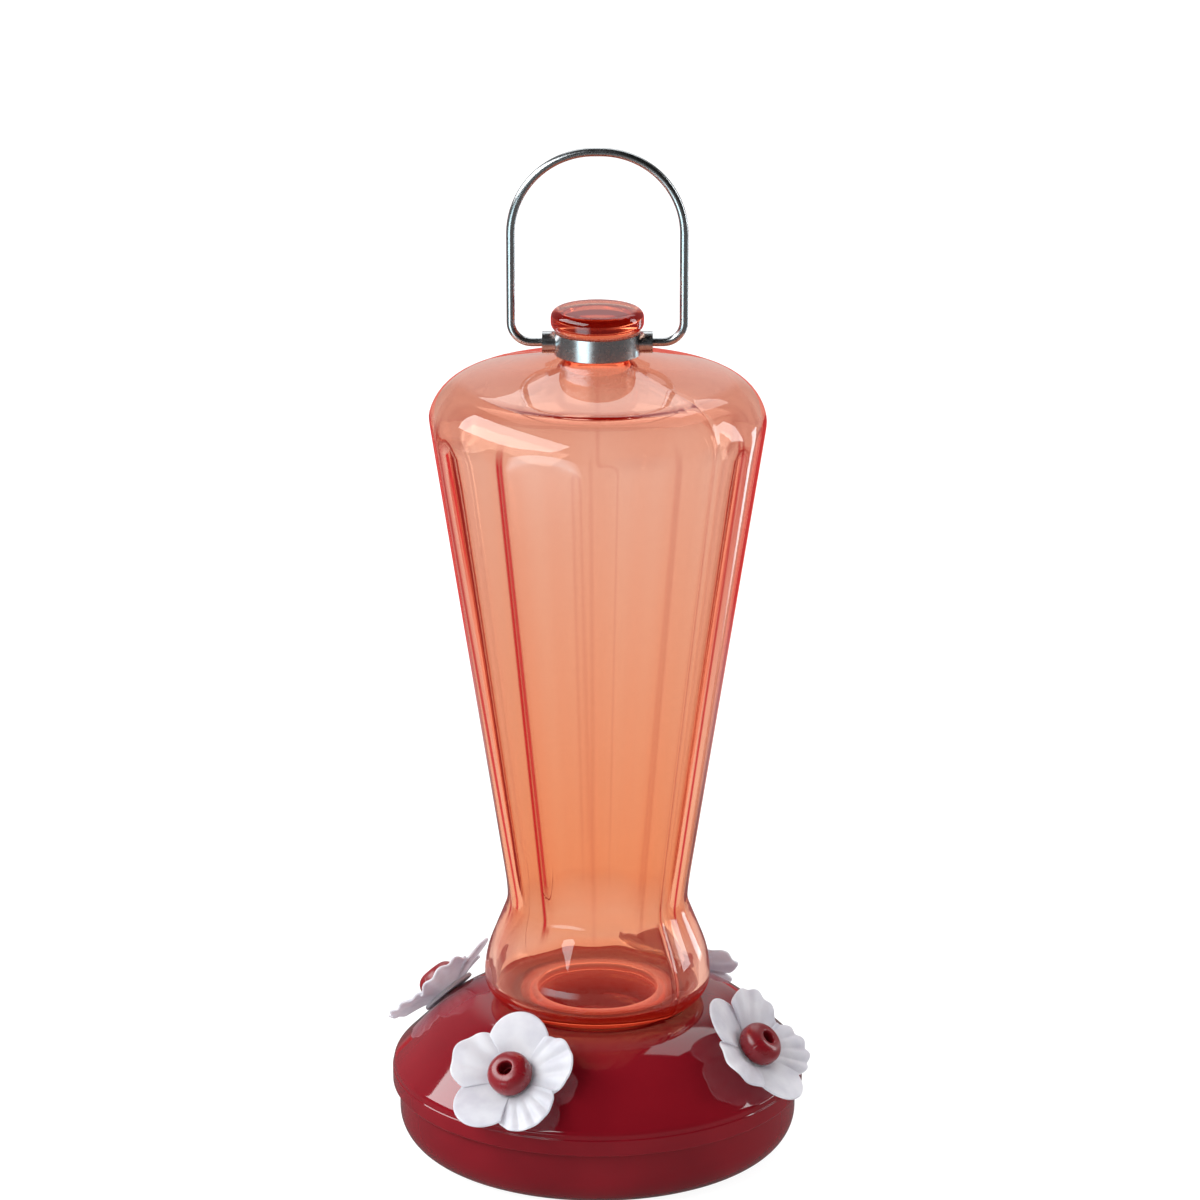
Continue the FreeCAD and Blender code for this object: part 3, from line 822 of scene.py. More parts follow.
@dataclass
class Port:
    """A round bead with a feeding hole, on a hollow stem."""

    radius: float = 6.6
    front: float = 9.1
    seat: float = 1.25
    front_round: float = 3.9
    back_round: float = 3.0
    bore: float = 2.1
    bore_round: float = 0.5
    bore_depth: float = 4.0
    stem: float = 2.8
    stem_bore: float = 1.5
    tail: float = -5.5
    seam: float = 0.07
    seam_azimuth: float = 90.0
    seam_half: float = 1.5
    seam_margin: float = 0.4
    columns: int = 90
    step: float = 0.35

    def angles(self) -> np.ndarray:
        """Even columns with five close ones at each mould line, in radians."""
        fine = np.radians([-2.0, -1.0, 0.0, 1.0, 2.0])
        seam = math.radians(self.seam_azimuth)
        extra = np.concatenate([fine + seam, fine - seam]) % (2 * np.pi)
        return np.unique(np.round(np.concatenate([even_angles(self.columns), extra]), 6))

    def bend(self, radius: np.ndarray, height: np.ndarray, turn: np.ndarray) -> Pair:
        """Raise a hair line where the mould's halves met, on two opposite sides of the bead."""
        line = swell(from_either_side(turn, self.seam_azimuth), math.radians(self.seam_half))
        bead = (radius > self.bore + self.seam_margin) * (height > self.seat)
        return radius + self.seam * line * bead, height

    def build(self, seat: PortSeat, material: bpy.types.Material) -> None:
        """Make the bead and its stem on one seat and dress it.

        Args:
            seat: where it stands.
            material: its finish.
        """
        well = self.front - self.bore_depth
        profile = path_through([
            (self.bore, self.front, self.bore_round), (self.radius, self.front, self.front_round),
            (self.radius, self.seat, self.back_round), (self.stem, self.seat, 0), (self.stem, self.tail, 0),
            (self.stem_bore, self.tail, 0), (self.stem_bore, well, 0), (self.bore, well, 0)],
            self.step, closed=True)
        piece = lathe(f"feeding_port_{seat.number}", profile, self.angles(), Ends.LOOP, self.bend)
        piece.data.transform(seat.place(spun=False))
        settle(piece, "cover", "bead_red", material, f"port_{seat.number}")


@dataclass
class Flower:
    """Five cupped, fluted petals on a round hub.

    A run is the pair of distances from the stem between which a form comes up to its full height.
    """

    radius: float = 20.0
    reach: float = 9.4
    half_angle: float = 38.5
    hub_radius: float = 8.75
    hub_thickness: float = 1.2
    hub_under: float = 0.05
    hub_rounds: Span = (0.3, 0.5)
    hub_columns: int = 72
    hub_step: float = 0.8
    bore: float = 2.95
    root: float = 4.2
    root_flat: float = 2.6
    bend_radius: float = 11.5
    bend_height: float = 3.4
    bend_soft: float = 0.5
    cup_floor: float = 0.9
    rise: float = 5.2
    thickness: float = 0.85
    tilt: float = 0.42
    tilt_run: Span = (5.0, 12.0)
    flutes: tuple[float, ...] = (5.0, 4.0, 0.5, 3.0, 0.5)
    flute_depth: float = 0.42
    flute_shares: Span = (0.8, 1.2)
    flute_run: Span = (7.0, 17.5)
    rim_wave: float = 0.012
    curl: float = 0.9
    curl_run: Span = (8.0, 18.0)
    droop: Span = (-0.7, 0.5)
    droop_run: Span = (10.0, 20.0)
    crease: float = 50.0
    rows: int = 22
    across: int = 37

    def cup(self, away: np.ndarray) -> np.ndarray:
        """Height of the petals' middle.

        It climbs from the hub to the bend, then more gently to the tip: two slopes joined by a
        soft corner, as the soft minimum of two straight lines.

        Args:
            away: distances from the stem.

        Returns:
            The heights.
        """
        start = self.root + self.root_flat
        steep = (self.bend_height - self.hub_thickness) / (self.bend_radius - start)
        gentle = (self.rise - self.bend_height) / (self.radius - self.bend_radius)
        inner = self.hub_thickness + (away - start) * steep
        outer = self.bend_height + (away - self.bend_radius) * gentle
        lower = -self.bend_soft * np.logaddexp(-inner / self.bend_soft, -outer / self.bend_soft)
        return np.maximum(lower, self.cup_floor)

    def petal(self, turn: float, flutes: float, rng: np.random.Generator) -> np.ndarray:
        """One petal's grid of points, in millimetres, in the flower's own frame.

        Columns fan out at even angles from the stem. The outline is a round of radius reach whose
        middle is radius - reach from the stem, so at angle a it lies at
        c cos a + sqrt(reach^2 - c^2 sin^2 a). Rows go from the root to that outline. The height is
        the cup, a tilt that laps each petal over the next, flutes that deepen towards the rim, sides
        that curl down and a tip that droops.

        Args:
            turn: angle of the petal's middle, in radians.
            flutes: how many it has.
            rng: seeded source of the small differences between petals.

        Returns:
            The grid.
        """
        side = np.linspace(-1, 1, self.across)
        angle = side * math.radians(self.half_angle)
        centre = self.radius - self.reach
        wave = np.cos(side * flutes * np.pi + rng.uniform(0, 2 * np.pi))
        edge = centre * np.cos(angle) + np.sqrt(self.reach ** 2 - (centre * np.sin(angle)) ** 2)
        edge = edge * (1 + self.rim_wave * wave)
        away = self.root + (edge[None] - self.root) * np.linspace(0, 1, self.rows)[:, None]
        relief = self.flute_depth * rng.uniform(*self.flute_shares) * wave * ramped(away, *self.flute_run)
        curl = -self.curl * side[None] ** 2 * ramped(away, *self.curl_run)
        droop = rng.uniform(*self.droop) * ramped(away, *self.droop_run)
        tilt = self.tilt * side[None] * ramped(away, *self.tilt_run)
        heading = turn + angle[None]
        height = self.cup(away) + relief + curl + droop + tilt
        return np.stack([away * np.cos(heading), away * np.sin(heading), height], -1)

    def build(self, seat: PortSeat, material: bpy.types.Material) -> None:
        """Make the petals and the hub as one piece on one seat and dress it.

        Args:
            seat: where it stands.
            material: its finish.
        """
        name = f"blossom_{seat.number}"
        rng = np.random.default_rng(SEED + seat.number)
        angles = even_angles(len(self.flutes))
        points = np.stack([self.petal(turn, flutes, rng) for turn, flutes in zip(angles, self.flutes)])
        index = np.arange(points[..., 0].size).reshape(points.shape[:3])
        quads = np.stack([index[:, :-1, :-1], index[:, 1:, :-1], index[:, 1:, 1:], index[:, :-1, 1:]], -1)
        mesh = bpy.data.meshes.new(name)
        mesh.from_pydata(points.reshape(-1, 3) * MM, [], quads.reshape(-1, 4))
        mesh.polygons.foreach_set("use_smooth", np.ones(len(mesh.polygons), bool))
        piece = place_piece(name, mesh)
        wall = piece.modifiers.new("wall", "SOLIDIFY")
        wall.thickness = self.thickness * MM
        wall.offset = 1.0
        smooth = piece.modifiers.new("smooth", "SUBSURF")
        smooth.levels = smooth.render_levels = 1
        piece.data = baked(piece)
        under_round, top_round = self.hub_rounds
        hub = lathe("hub", path_through([
            (self.bore, self.hub_under, 0), (self.hub_radius, self.hub_under, under_round),
            (self.hub_radius, self.hub_thickness, top_round), (self.bore, self.hub_thickness, 0)],
            self.hub_step, closed=True), even_angles(self.hub_columns), Ends.LOOP)
        knit(piece.data, self.crease, others=[hub])
        piece.data.transform(seat.place(spun=True))
        settle(piece, "cover", "petal_white", material, f"flower_{seat.number}")


@dataclass
class Bottle:
    """The closed glass bottle, neck down.

    The seat is the height of the cover's top, where the shoulder stands. Other heights count from
    it, but the thread's are above the floor, as the cup's are.
    """

    seat: float = 44.6
    neck: float = 20.0
    neck_length: float = 25.3
    neck_wall: float = 1.9
    neck_round: float = 0.5
    wall: float = 3.0
    mouth_round: float = 0.8
    shoulder_round: float = 7.6
    bulge: float = 33.8
    bulge_height: float = 13.4
    bulge_round: float = 30.0
    waist: float = 26.75
    waist_height: float = 31.0
    waist_round: float = 8.0
    top: float = 51.4
    top_height: float = 188.7
    top_round: float = 15.0
    crown_rise: float = 10.0
    crown_round: float = 1.5
    knob_neck: float = 10.0
    knob_neck_length: float = 7.2
    knob_neck_round: float = 0.8
    knob: float = 13.5
    knob_height: float = 6.5
    knob_round: float = 2.6
    panels: int = 11
    panel_columns: tuple[float, ...] = (3, 6, 8.5, 10.5, 11.8, 12.5, 13.1, 13.8, 14.6, 15.2, 15.7, 16.05)
    panel_start: Span = (16.0, 22.0)
    panel_foot: float = 12.0
    rib_azimuth: float = -92.2
    flat_waist: float = 0.7
    flat_top: float = 1.25
    flat_bend: float = 1.4
    run_slope: float = 0.55
    rib_soft: float = 0.22
    seam_azimuth: float = -46.0
    seam_columns: tuple[float, ...] = (-0.7, -0.35, 0.0, 0.35, 0.7)
    seam_height: float = 0.16
    seam_half: float = 0.55
    seam_end: float = 14.0
    thread: Thread = Thread(low=25.6, high=35.8)
    thread_height: float = 1.2
    thread_half: float = 1.15
    gap_azimuth: float = -55.0
    gap_half: float = 14.0
    bead_height: float = 0.5
    bead_drop: float = 1.6
    bead_half: float = 1.2
    line_reach: float = 1.6
    line_columns: int = 7
    closest: float = 0.12
    crease: float = 60.0
    mouth_gap_m: float = 2e-6
    neck_step: float = 0.42
    neck_end: float = 0.4
    step: float = 1.6
    lining_step: float = 3.2
    stride: float = 3.0

    def angles(self) -> np.ndarray:
        """Columns that gather at the panels' edges, the two mould seams and the lines of painted shade.

        Returns:
            Their angles in radians.
        """
        half = 180.0 / self.panels
        side = np.array(self.panel_columns)
        sector = np.concatenate([-side[::-1], [0.0], side, [half]])
        middles = self.rib_azimuth + half + np.arange(self.panels) * 2 * half
        seam = self.seam_azimuth + np.array(self.seam_columns)
        lines = np.array([azimuth for azimuth, _ in PaintedShadeAndGlow.lines])[:, None]
        lines = lines + np.linspace(-self.line_reach, self.line_reach, self.line_columns)
        every = np.concatenate([(middles[:, None] + sector).ravel(), seam, seam + 180.0, lines.ravel()])
        every = np.unique(np.round(every % 360.0, 2))
        return np.radians(every[np.diff(every, prepend=-1.0) > self.closest])

    def corners(self) -> tuple[list[Corner], list[Corner]]:
        """Outer and inner corners of the glass.

        A corner without a bend on the body's side marks where the panels' feet end, because the
        side above it has longer steps.

        Returns:
            The outer ones from the mouth up to the knob, and the inner ones from the crown down.
        """
        s, w = self.seat, self.wall
        crown = s + self.top_height + self.crown_rise
        foot = crown + self.knob_neck_length
        mouth = s - self.neck_length
        bore = self.neck - self.neck_wall
        lip = ((self.neck + bore) / 2, mouth, 0)
        widening = (self.top - self.waist) / (self.top_height - self.waist_height)
        outer = [
            lip, (self.neck, mouth, self.mouth_round), (self.neck, s, self.neck_round),
            (self.bulge, s, self.shoulder_round),
            (self.bulge, s + self.bulge_height, self.bulge_round),
            (self.waist, s + self.waist_height, self.waist_round),
            (self.waist + self.panel_foot * widening, s + self.waist_height + self.panel_foot, 0),
            (self.top, s + self.top_height, self.top_round), (self.knob_neck, crown, self.crown_round),
            (self.knob_neck, foot, self.knob_neck_round), (self.knob, foot, self.knob_round),
            (self.knob, foot + self.knob_height, self.knob_round), (0, foot + self.knob_height, 0)]
        inner = [
            (0, crown - w, 0), (self.top - w, s + self.top_height - w, self.top_round - w),
            (self.waist - w, s + self.waist_height, self.waist_round + w),
            (self.bulge - w, s + self.bulge_height, self.bulge_round - w),
            (self.bulge - w, s + w, self.shoulder_round - w), (bore, s + w, self.mouth_round),
            (bore, mouth, self.mouth_round), lip]
        return outer, inner

    def flat(self, height: np.ndarray) -> np.ndarray:
        """Distance of the panels' planes from the axis.

        It runs straight from the waist to the top, with a round bend at the waist, and below it
        opens out faster than the glass does, so that the panels end there.

        Args:
            height: height of each point.

        Returns:
            The distances.
        """
        up = height - self.seat - self.waist_height
        low, high = self.waist - self.flat_waist, self.top - self.flat_top
        above = low + up * (high - low) / (self.top_height - self.waist_height)
        below = low - up * self.run_slope
        return self.flat_bend * np.logaddexp(above / self.flat_bend, below / self.flat_bend)

    def bend(self, radius: np.ndarray, height: np.ndarray, turn: np.ndarray) -> Pair:
        """Press the panels, the thread and the mould seams into the turned glass.

        A panel is a plane, so in the direction a from its middle it lies at its distance over
        cos a, and the glass is the soft minimum of that and the turned radius. The thread is a
        helical ridge that stops short of the front seam, a small bead runs round the neck under the
        shoulder, and a seam is a fine upright ridge.

        Args:
            radius: radius of each point.
            height: height of each point.
            turn: angle of each point.

        Returns:
            The new radius and height.
        """
        pitch = 2 * np.pi / self.panels
        off = (turn - math.radians(self.rib_azimuth)) % pitch - pitch / 2
        plane = self.flat(height) / np.cos(off)
        body = ramped(height - self.seat, *self.panel_start)
        pressed = -self.rib_soft * np.logaddexp(-radius / self.rib_soft, -plane / self.rib_soft)
        shaped = np.where(body > 0, radius + (np.minimum(pressed, radius) - radius) * body, radius)
        neck = np.abs(radius - self.neck) < SAME
        ridge = self.thread.crest(height, turn, self.thread_half) * self.unbroken(turn) * neck
        bead = self.bead_height * swell(height - self.seat + self.bead_drop, self.bead_half) * neck
        seam = swell(from_either_side(turn, self.seam_azimuth) * radius, self.seam_half)
        seam = self.seam_height * seam * (radius > self.seam_end)
        return shaped + self.thread_height * ridge + bead + seam, height

    def unbroken(self, turn: np.ndarray) -> np.ndarray:
        """One where the thread runs, falling to nothing in its gap."""
        away = wrapped(turn - math.radians(self.gap_azimuth))
        return 1 - swell(away, math.radians(self.gap_half)) ** 0.5

    def build(self, finish: PressedGlass) -> None:
        """Make the glass, outside and inside as one closed skin, and dress it.

        The neck has closer rows than the body, for its thread.

        Args:
            finish: the glass.
        """
        outer, inner = self.corners()
        low = path_through(outer[:4] + [(*outer[4][:2], 0)], self.neck_step, closed=False)
        skin = path_through(outer, self.step, closed=False, stride=self.stride)
        split = self.seat - self.neck_end
        skin = np.concatenate([low[low[:, 1] < split], skin[skin[:, 1] >= split]])
        lining = path_through(inner, self.lining_step, closed=False, stride=self.stride)
        angles = self.angles()
        piece = lathe("glass_outside", skin, angles, Ends.APART, self.bend)
        inside = lathe("glass_inside", lining, angles, Ends.APART)
        knit(piece.data, self.crease, self.mouth_gap_m, [inside])
        piece.name = piece.data.name = "glass_bottle"
        # Store the painted shade lines and the painted glow on the glass.
        PaintedShadeAndGlow(self).dress(piece.data)
        s = self.seat * MM
        material = finish.material(s - self.neck_length * MM, s + self.waist_height * MM,
                                   s + self.top_height * MM)
        settle(piece, "bottle", "tinted_glass", material, "bottle")


@dataclass
class PaintedShadeAndGlow:
    """Painted shade on the bottle in dark red lines, and a painted glow over its neck.

    Each painted line is an azimuth and a strength. A span is the pair of distances past the waist,
    the top or a wall between which a share comes up or fades.
    """

    bottle: Bottle
    lines: tuple[tuple[float, float], ...] = (
        (-162.5, 2.6), (-125.0, 1.4), (-92.2, 0.12), (-61.5, 0.35), (-32.0, 1.3), (6.0, 0.8), (90.0, 0.15))
    line_half: float = 1.05
    line_start: Span = (-7.0, -1.0)
    line_end: Span = (-12.0, -4.0)
    seam_half: float = 0.6
    seam_loss: float = 0.75
    seam_run: Span = (2.0, 14.0)
    thread_share: float = 0.9
    thread_half: float = 1.0
    thread_drop: float = 0.9
    thread_top: float = -2.0
    foot_share: float = 0.3
    foot_rise: float = 1.0
    foot_half: float = 2.6
    body_margin: float = 2.2
    neck_margin: float = 0.3
    lit_from_bore: Span = (-1.0, 0.2)
    lit_past_neck: Span = (0.0, 3.0)
    lit_height: Span = (-2.5, -0.2)
    lit_top: float = 1.0

    def painted_shade(self, radius: np.ndarray, turn: np.ndarray, z: np.ndarray) -> np.ndarray:
        """How much painted shade each point of the outside takes.

        Dark red lines are painted as shade in fine upright lines over the body, each by its own share,
        along the front mould seam, most of all under the waist, under the thread and at the shoulder's
        foot: a hump of the distance to the line.

        Args:
            radius: radius of each point.
            turn: angle of each point.
            z: height of each point.

        Returns:
            Shares from 0 to 1.
        """
        glass = self.bottle
        up = z - glass.seat
        past_waist, past_top = up - glass.waist_height, up - glass.top_height
        fading = 1 - ramped(past_top, *self.line_end)
        live = ramped(past_waist, *self.line_start) * fading
        # Painted shade: dark red lines, as a share that the glass mixes into its tint.
        deep = np.zeros_like(z)
        for azimuth, strength in self.lines:
            hump = swell(wrapped(turn - math.radians(azimuth)) * radius, self.line_half)
            deep = np.maximum(deep, np.minimum(strength * hump, 1.0) * live)
        seam = swell(wrapped(turn - math.radians(glass.seam_azimuth)) * radius, self.seam_half)
        seam = seam * (1 - self.seam_loss * ramped(past_waist, *self.seam_run)) * fading
        under = glass.thread.crest(z + self.thread_drop, turn, self.thread_half) * (up < self.thread_top)
        foot = self.foot_share * swell(up - self.foot_rise, self.foot_half)
        deep = np.maximum(deep, np.maximum(self.thread_share * under * glass.unbroken(turn), foot))
        outside = radius > np.where(up > 0, glass.waist - self.body_margin, glass.neck - self.neck_margin)
        return np.maximum(deep, seam) * outside

    def lit(self, radius: np.ndarray, z: np.ndarray) -> np.ndarray:
        """How much light gathers at each point: a ring inside the bottle, over the neck's wall.

        Args:
            radius: radius of each point.
            z: height of each point.

        Returns:
            Shares from 0 to 1.
        """
        glass = self.bottle
        past_bore, past_neck = radius - glass.neck + glass.neck_wall, radius - glass.neck
        over = z - glass.seat - glass.wall
        ring = ramped(past_bore, *self.lit_from_bore) * (1 - ramped(past_neck, *self.lit_past_neck))
        return ring * ramped(over, *self.lit_height) * (over < self.lit_top)

    def dress(self, mesh: bpy.types.Mesh) -> None:
        """Store both shares on the glass.

        Args:
            mesh: the bottle's mesh, in metres.
        """
        places = np.empty(len(mesh.vertices) * 3)
        mesh.vertices.foreach_get("co", places)
        x, y, z = places.reshape(-1, 3).T / MM
        radius = np.hypot(x, y)
        store(mesh, PAINTED_SHADE, self.painted_shade(radius, np.arctan2(y, x), z))
        store(mesh, LIP, self.lit(radius, z))


@dataclass
class Hanger:
    """The metal ring round the knob's neck and the wire bail in its eyes."""

    eye_height: float = 247.05
    wire: float = 1.25
    entry: float = 12.4
    half_width: float = 25.0
    bail_height: float = 56.0
    foot_round: float = 6.0
    arch_round: float = 24.0
    around: int = 20
    step: float = 1.0

    def build(self, steel: bpy.types.Material) -> None:
        """Make the bail and dress the ring.

        The wire is a round section carried along its path: each point is the path's own, plus the
        section's share across the path and its share along Y.

        Args:
            steel: the finish of both.
        """
        eye, crest, side = self.eye_height, self.eye_height + self.bail_height, self.half_width
        path = path_through([
            (-self.entry, eye, 0), (-side, eye, self.foot_round), (-side, crest, self.arch_round),
            (side, crest, self.arch_round), (side, eye, self.foot_round), (self.entry, eye, 0)],
            self.step, closed=False)
        along = np.gradient(path, axis=0)
        along /= np.linalg.norm(along, axis=1, keepdims=True)
        across = np.stack([-along[:, 1], along[:, 0]], 1)
        angle = even_angles(self.around)
        ring_in, ring_out = self.wire * np.cos(angle), self.wire * np.sin(angle)
        x = path[:, 0:1] + across[:, 0:1] * ring_in
        z = path[:, 1:2] + across[:, 1:2] * ring_in
        tube = np.stack([x, np.repeat(ring_out[None], len(path), axis=0), z], -1)
        tips = np.stack([path[[0, -1], 0], np.zeros(2), path[[0, -1], 1]], -1)
        first, last = (np.repeat(tip[None, None], self.around, axis=1) for tip in tips)
        piece = surface("bail_wire", np.concatenate([first, tube, last]) * MM, Ends.APART)
        settle(piece, "bail", "hanger_wire", steel, "hanger_bail")
        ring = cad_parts["hanger_collar"]
        ring.data.materials.clear()
        ring.data.materials.append(steel)


@dataclass(frozen=True)
class Softbox:
    """A soft rectangular lamp that faces the feeder."""

    name: str
    azimuth: float
    elevation: float
    distance_m: float
    width_m: float
    height_m: float
    watts: float
    colour: tuple[float, float, float] = (0.93, 0.99, 1.0)
    aim_m: float = 0.14

    def build(self) -> None:
        """Place the lamp, at its azimuth from the front towards the right and its elevation."""
        data = bpy.data.lights.new(self.name, "AREA")
        data.shape = "RECTANGLE"
        data.size, data.size_y = self.width_m, self.height_m
        data.energy = self.watts
        data.color = self.colour
        lamp = place_piece(self.name, data)
        a, e = math.radians(self.azimuth), math.radians(self.elevation)
        away = Vector((math.sin(a) * math.cos(e), -math.cos(a) * math.cos(e), math.sin(e)))
        lamp.location = Vector((0, 0, self.aim_m)) + away * self.distance_m
        lamp.rotation_euler = away.to_track_quat("Z", "Y").to_euler()


@dataclass
class Studio:
    """White sweep, soft lamps and the camera.

    A fade over a direction starts and stops at shares of a unit vector's axis: of Y, which points
    straight back, unless its name says otherwise. A fade over a distance is in metres.
    """

    aim_mm: tuple[float, float, float] = (0.755, 0.0, 168.88)
    distance_mm: float = 1500.0
    pitch: float = 17.34
    focal_pixels: float = 5105.5
    far_clip_m: float = 50.0
    wrap: Fade = Fade(-0.4, 0.6, 0.2, 1.45)
    panel_behind: Fade = Fade(0.05, 0.7, 0.03, 1.0, smooth=True)
    panel_height: Fade = Fade(0.5, 0.75, 1.0, 0.05, smooth=True)
    panel_aside: Fade = Fade(0.12, 0.34, 1.0, 0.3, smooth=True)
    panel_level: float = 0.62
    card_behind: Fade = Fade(0.62, 0.88, smooth=True)
    card_front: Fade = Fade(0.45, 0.15, smooth=True)
    card_beyond: str = "#C4343C"
    card: str = "#FFFFFF"
    floor_half_m: float = 4.0
    floor_drop_m: float = 0.0003
    floor_colour: str = "#F4F4F5"
    floor_white: float = 0.78
    floor_glow: float = 1.2
    floor_shine: float = 0.16
    floor_near: Fade = Fade(0.25, 0.5, 1.0, 0.0)
    sweep_behind: Fade = Fade(0.7, 0.9)
    sweep_distance: Fade = Fade(0.2, 0.5)
    sweep_tint: str = "#D8484A"
    board_level: float = 5.0
    board_tint: str = "#C4E8F0"
    board_distance: Fade = Fade(0.34, 0.54, smooth=True)
    wide_board: tuple[float, float, float, float] = (-164.0, -150.0, -132.0, -122.0)
    thin_board: tuple[float, float, float, float] = (44.0, 46.0, 53.0, 55.0)
    softboxes: tuple[Softbox, ...] = (
        Softbox("left_softbox", -72.0, 37.0, 1.5, 2.4, 0.8, 36.0),
        Softbox("right_softbox", 104.0, 14.0, 1.7, 0.4, 1.2, 8.0),
        Softbox("back_softbox", 172.0, 52.0, 1.6, 1.4, 0.9, 7.0))

    def camera(self) -> None:
        """Place the camera at the photograph's viewing angle."""
        pitch = math.radians(self.pitch)
        data = bpy.data.cameras.new("camera")
        data.sensor_width = SENSOR_MM
        data.lens = self.focal_pixels / PHOTO_PIXELS * SENSOR_MM
        data.clip_end = self.far_clip_m
        camera = place_piece("camera", data)
        back = Vector((0, -math.cos(pitch), math.sin(pitch)))
        camera.location = (Vector(self.aim_mm) + back * self.distance_mm) * MM
        camera.rotation_euler = (math.pi / 2 - pitch, 0, 0)
        bpy.context.scene.camera = camera

    def world(self) -> None:
        """White for the camera and glass, a panel behind for gloss, and light all round, most behind."""
        world = bpy.data.worlds.new("studio")
        bpy.context.scene.world = world
        world.use_nodes = True
        tree = world.node_tree
        tree.nodes.clear()
        output = tree.nodes.new("ShaderNodeOutputWorld")
        path = add_node(tree, "ShaderNodeLightPath")
        place = add_node(tree, "ShaderNodeTexCoord")
        axes = add_node(tree, "ShaderNodeSeparateXYZ", links={0: place.outputs["Generated"]})
        behind = add_node(tree, RANGE, self.panel_behind.settings(), {0: axes.outputs["Y"]})
        height = add_node(tree, RANGE, self.panel_height.settings(), {0: axes.outputs["Z"]})
        side = add_node(tree, MATH, {"operation": "ABSOLUTE"}, {0: axes.outputs["X"]})
        aside = add_node(tree, RANGE, self.panel_aside.settings(), {0: side})
        panel = add_node(tree, MATH, {"operation": "MULTIPLY"}, {0: behind, 1: height})
        panel = add_node(tree, MATH, {"operation": "MULTIPLY"}, {0: panel, 1: aside})
        mirrored = add_node(tree, MATH, {"operation": "MULTIPLY", 1: self.panel_level}, {0: panel})
        wrap = add_node(tree, RANGE, self.wrap.settings(), {0: axes.outputs["Y"]})
        soft = add_node(tree, MIX, {"data_type": "FLOAT"},
                        {0: path.outputs["Is Glossy Ray"], 2: wrap, 3: mirrored})
        seen = add_node(tree, MATH, {"operation": "MAXIMUM"},
                        {0: path.outputs["Is Camera Ray"], 1: path.outputs["Is Transmission Ray"]})
        level = add_node(tree, MATH, {"operation": "MAXIMUM"}, {0: soft, 1: seen})
        back = add_node(tree, "ShaderNodeBackground", links={
            "Color": self.card_colour(tree, path, axes.outputs["Y"]), "Strength": level})
        tree.links.new(back.outputs[0], output.inputs["Surface"])

    def card_colour(self, tree: bpy.types.NodeTree, path: bpy.types.Node, behind: bpy.types.NodeSocket,
                    near: bpy.types.Node | None = None) -> bpy.types.Node:
        """White, but past the edges of the card behind the glass the deep red of long ways through it.

        Args:
            tree: the node tree.
            path: the light path node.
            behind: share of the direction that points straight back.
            near: one where it is white in every direction.

        Returns:
            The colour's node.
        """
        inside = add_node(tree, RANGE, self.card_behind.settings(), {0: behind})
        front = add_node(tree, RANGE, self.card_front.settings(), {0: behind})
        inside = add_node(tree, MATH, {"operation": "MAXIMUM"}, {0: inside, 1: front})
        if near is not None:
            inside = add_node(tree, MATH, {"operation": "MAXIMUM"}, {0: inside, 1: near})
        share = add_node(tree, MIX, {"data_type": "FLOAT", 2: 1.0},
                         {0: path.outputs["Is Transmission Ray"], 3: inside})
        return add_node(tree, "ShaderNodeValToRGB", links={0: share},
                        stops=[(0.0, self.card_beyond), (1.0, self.card)])

    def wedge(self, tree: bpy.types.NodeTree, azimuth: bpy.types.Node,
              turns: tuple[float, float, float, float]) -> bpy.types.Node:
        """One between two directions on the floor, fading out over a soft edge on each side.

        Args:
            tree: the node tree.
            azimuth: the direction of the shaded point, from straight back towards the right.
            turns: degrees at which it starts, is full, starts to fade and ends.

        Returns:
            The share's node.
        """
        start, full, fade, end = (math.radians(turn) for turn in turns)
        rise = add_node(tree, RANGE, Fade(start, full).settings(), {0: azimuth})
        fall = add_node(tree, RANGE, Fade(end, fade).settings(), {0: azimuth})
        return add_node(tree, MATH, {"operation": "MULTIPLY"}, {0: rise, 1: fall})

    def boards(self, tree: bpy.types.NodeTree, away: bpy.types.NodeSocket,
               axes: bpy.types.Node) -> bpy.types.Node:
        """One on the two bright boards that lie on the floor for the gloss to mirror.

        Args:
            tree: the node tree.
            away: distance from the feeder.
            axes: the direction from the feeder, by its axes.

        Returns:
            The share's node.
        """
        azimuth = add_node(tree, MATH, {"operation": "ARCTAN2"},
                           {0: axes.outputs["X"], 1: axes.outputs["Y"]})
        far = add_node(tree, RANGE, self.board_distance.settings(), {0: away})
        wedge = add_node(tree, MATH, {"operation": "MAXIMUM"},
                         {0: self.wedge(tree, azimuth, self.wide_board),
                          1: self.wedge(tree, azimuth, self.thin_board)})
        return add_node(tree, MATH, {"operation": "MULTIPLY"}, {0: wedge, 1: far})

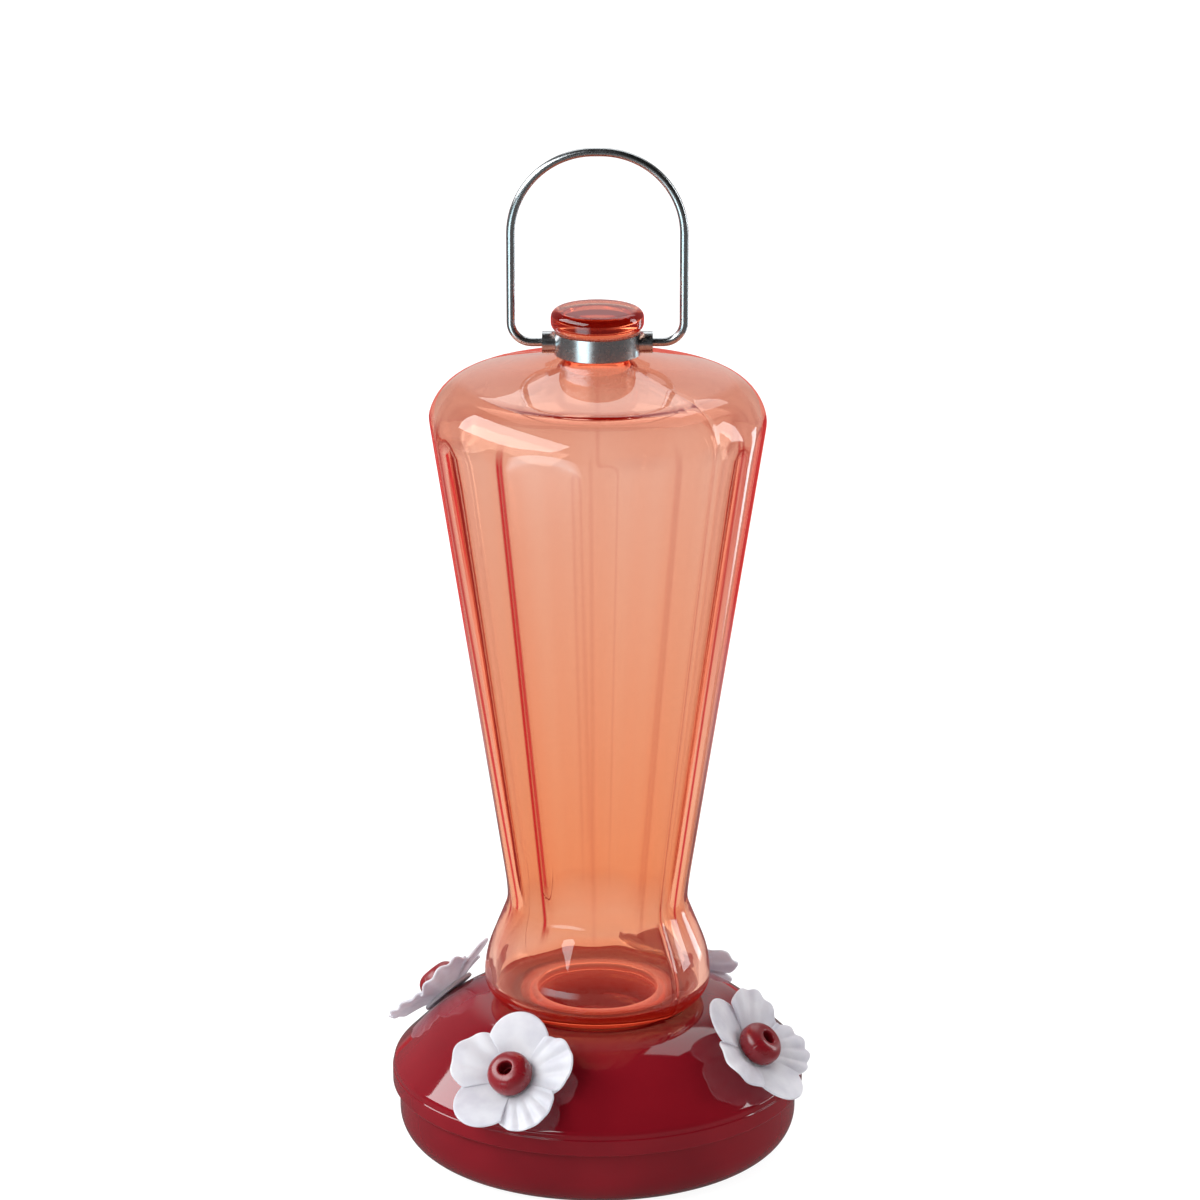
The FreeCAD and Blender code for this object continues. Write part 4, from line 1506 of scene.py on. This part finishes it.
    def sweep(self) -> bpy.types.Material:
        """The floor's finish: white paper that takes the shadow, with bright boards in its gloss.

        The camera and glass see it mostly lit by itself, with the shadow in the rest. Gloss mirrors
        its boards and its far end, and soft light meets plain paper.

        Returns:
            The material.
        """
        material, tree, output = new_material("white_sweep")
        path = add_node(tree, "ShaderNodeLightPath")
        place = add_node(tree, "ShaderNodeTexCoord")
        flat = add_node(tree, "ShaderNodeVectorMath", {"operation": "NORMALIZE"},
                        {0: place.outputs["Object"]})
        axes = add_node(tree, "ShaderNodeSeparateXYZ", links={0: flat})
        length = add_node(tree, "ShaderNodeVectorMath", {"operation": "LENGTH"},
                          {0: place.outputs["Object"]})
        away = length.outputs["Value"]
        near = add_node(tree, RANGE, self.floor_near.settings(), {0: away})
        behind = add_node(tree, RANGE, self.sweep_behind.settings(), {0: axes.outputs["Y"]})
        distant = add_node(tree, RANGE, self.sweep_distance.settings(), {0: away})
        sweep = add_node(tree, MATH, {"operation": "MULTIPLY"}, {0: behind, 1: distant})
        board = self.boards(tree, away, axes)
        shine = add_node(tree, MATH, {"operation": "MULTIPLY_ADD", 1: self.board_level, 2: self.floor_shine},
                         {0: board})
        bright = add_node(tree, MATH, {"operation": "MAXIMUM"}, {0: shine, 1: sweep})
        mirrored = add_node(tree, MATH, {"operation": "SUBTRACT", "use_clamp": True},
                            {0: path.outputs["Is Glossy Ray"], 1: path.outputs["Is Transmission Ray"]})
        strength = add_node(tree, MIX, {"data_type": "FLOAT", 2: self.floor_glow}, {0: mirrored, 3: bright})
        seen = add_node(tree, MATH, {"operation": "MAXIMUM"},
                        {0: path.outputs["Is Camera Ray"], 1: path.outputs["Is Transmission Ray"]})
        share = add_node(tree, MATH, {"operation": "MULTIPLY_ADD", "use_clamp": True, 1: self.floor_white},
                         {0: seen, 2: mirrored})
        colour = self.card_colour(tree, path, axes.outputs["Y"], near)
        for tint, where in ((self.sweep_tint, sweep), (self.board_tint, board)):
            tinted = add_node(tree, MATH, {"operation": "MULTIPLY"}, {0: mirrored, 1: where})
            mixed = add_node(tree, MIX, {"data_type": "RGBA", 7: linear(tint)}, {0: tinted, 6: colour})
            colour = mixed.outputs[2]
        matt = add_node(tree, "ShaderNodeBsdfDiffuse", {"Color": linear(self.floor_colour)})
        glow = add_node(tree, "ShaderNodeEmission", links={"Color": colour, "Strength": strength})
        mix = add_node(tree, "ShaderNodeMixShader", links={0: share, 1: matt, 2: glow})
        tree.links.new(mix.outputs[0], output.inputs["Surface"])
        return material

    def floor(self) -> None:
        """A wide pale floor that takes the feeder's shadow and shows white to the camera."""
        half = self.floor_half_m
        mesh = bpy.data.meshes.new("floor")
        mesh.from_pydata([(-half, -half, 0), (half, -half, 0), (half, half, 0), (-half, half, 0)], [],
                         [(0, 1, 2, 3)])
        floor = place_piece("floor", mesh)
        floor.location.z = -self.floor_drop_m
        mesh.materials.append(self.sweep())

    def build(self) -> None:
        """Set the stage."""
        self.camera()
        self.world()
        self.floor()
        for softbox in self.softboxes:
            softbox.build()
        bpy.context.scene.view_settings.view_transform = "Standard"


def main() -> None:
    """Build every piece in order."""
    red = GlossPolystyrene().material()
    bead_red = GlossPolystyrene(name="bead_red_polystyrene", colour="#86121D", deep_colour="#770D18",
                                roughness=0.26).material()
    white = SatinPolyethylene().material()
    steel = DrawnSteel().material()
    Dish().build(red)
    Cover().build(red)
    for number in range(1, 5):
        seat = PortSeat(number)
        Port().build(seat, bead_red)
        Flower().build(seat, white)
    Bottle().build(PressedGlass())
    Hanger().build(steel)
    Studio().build()


if __name__ == "__main__":
    main()
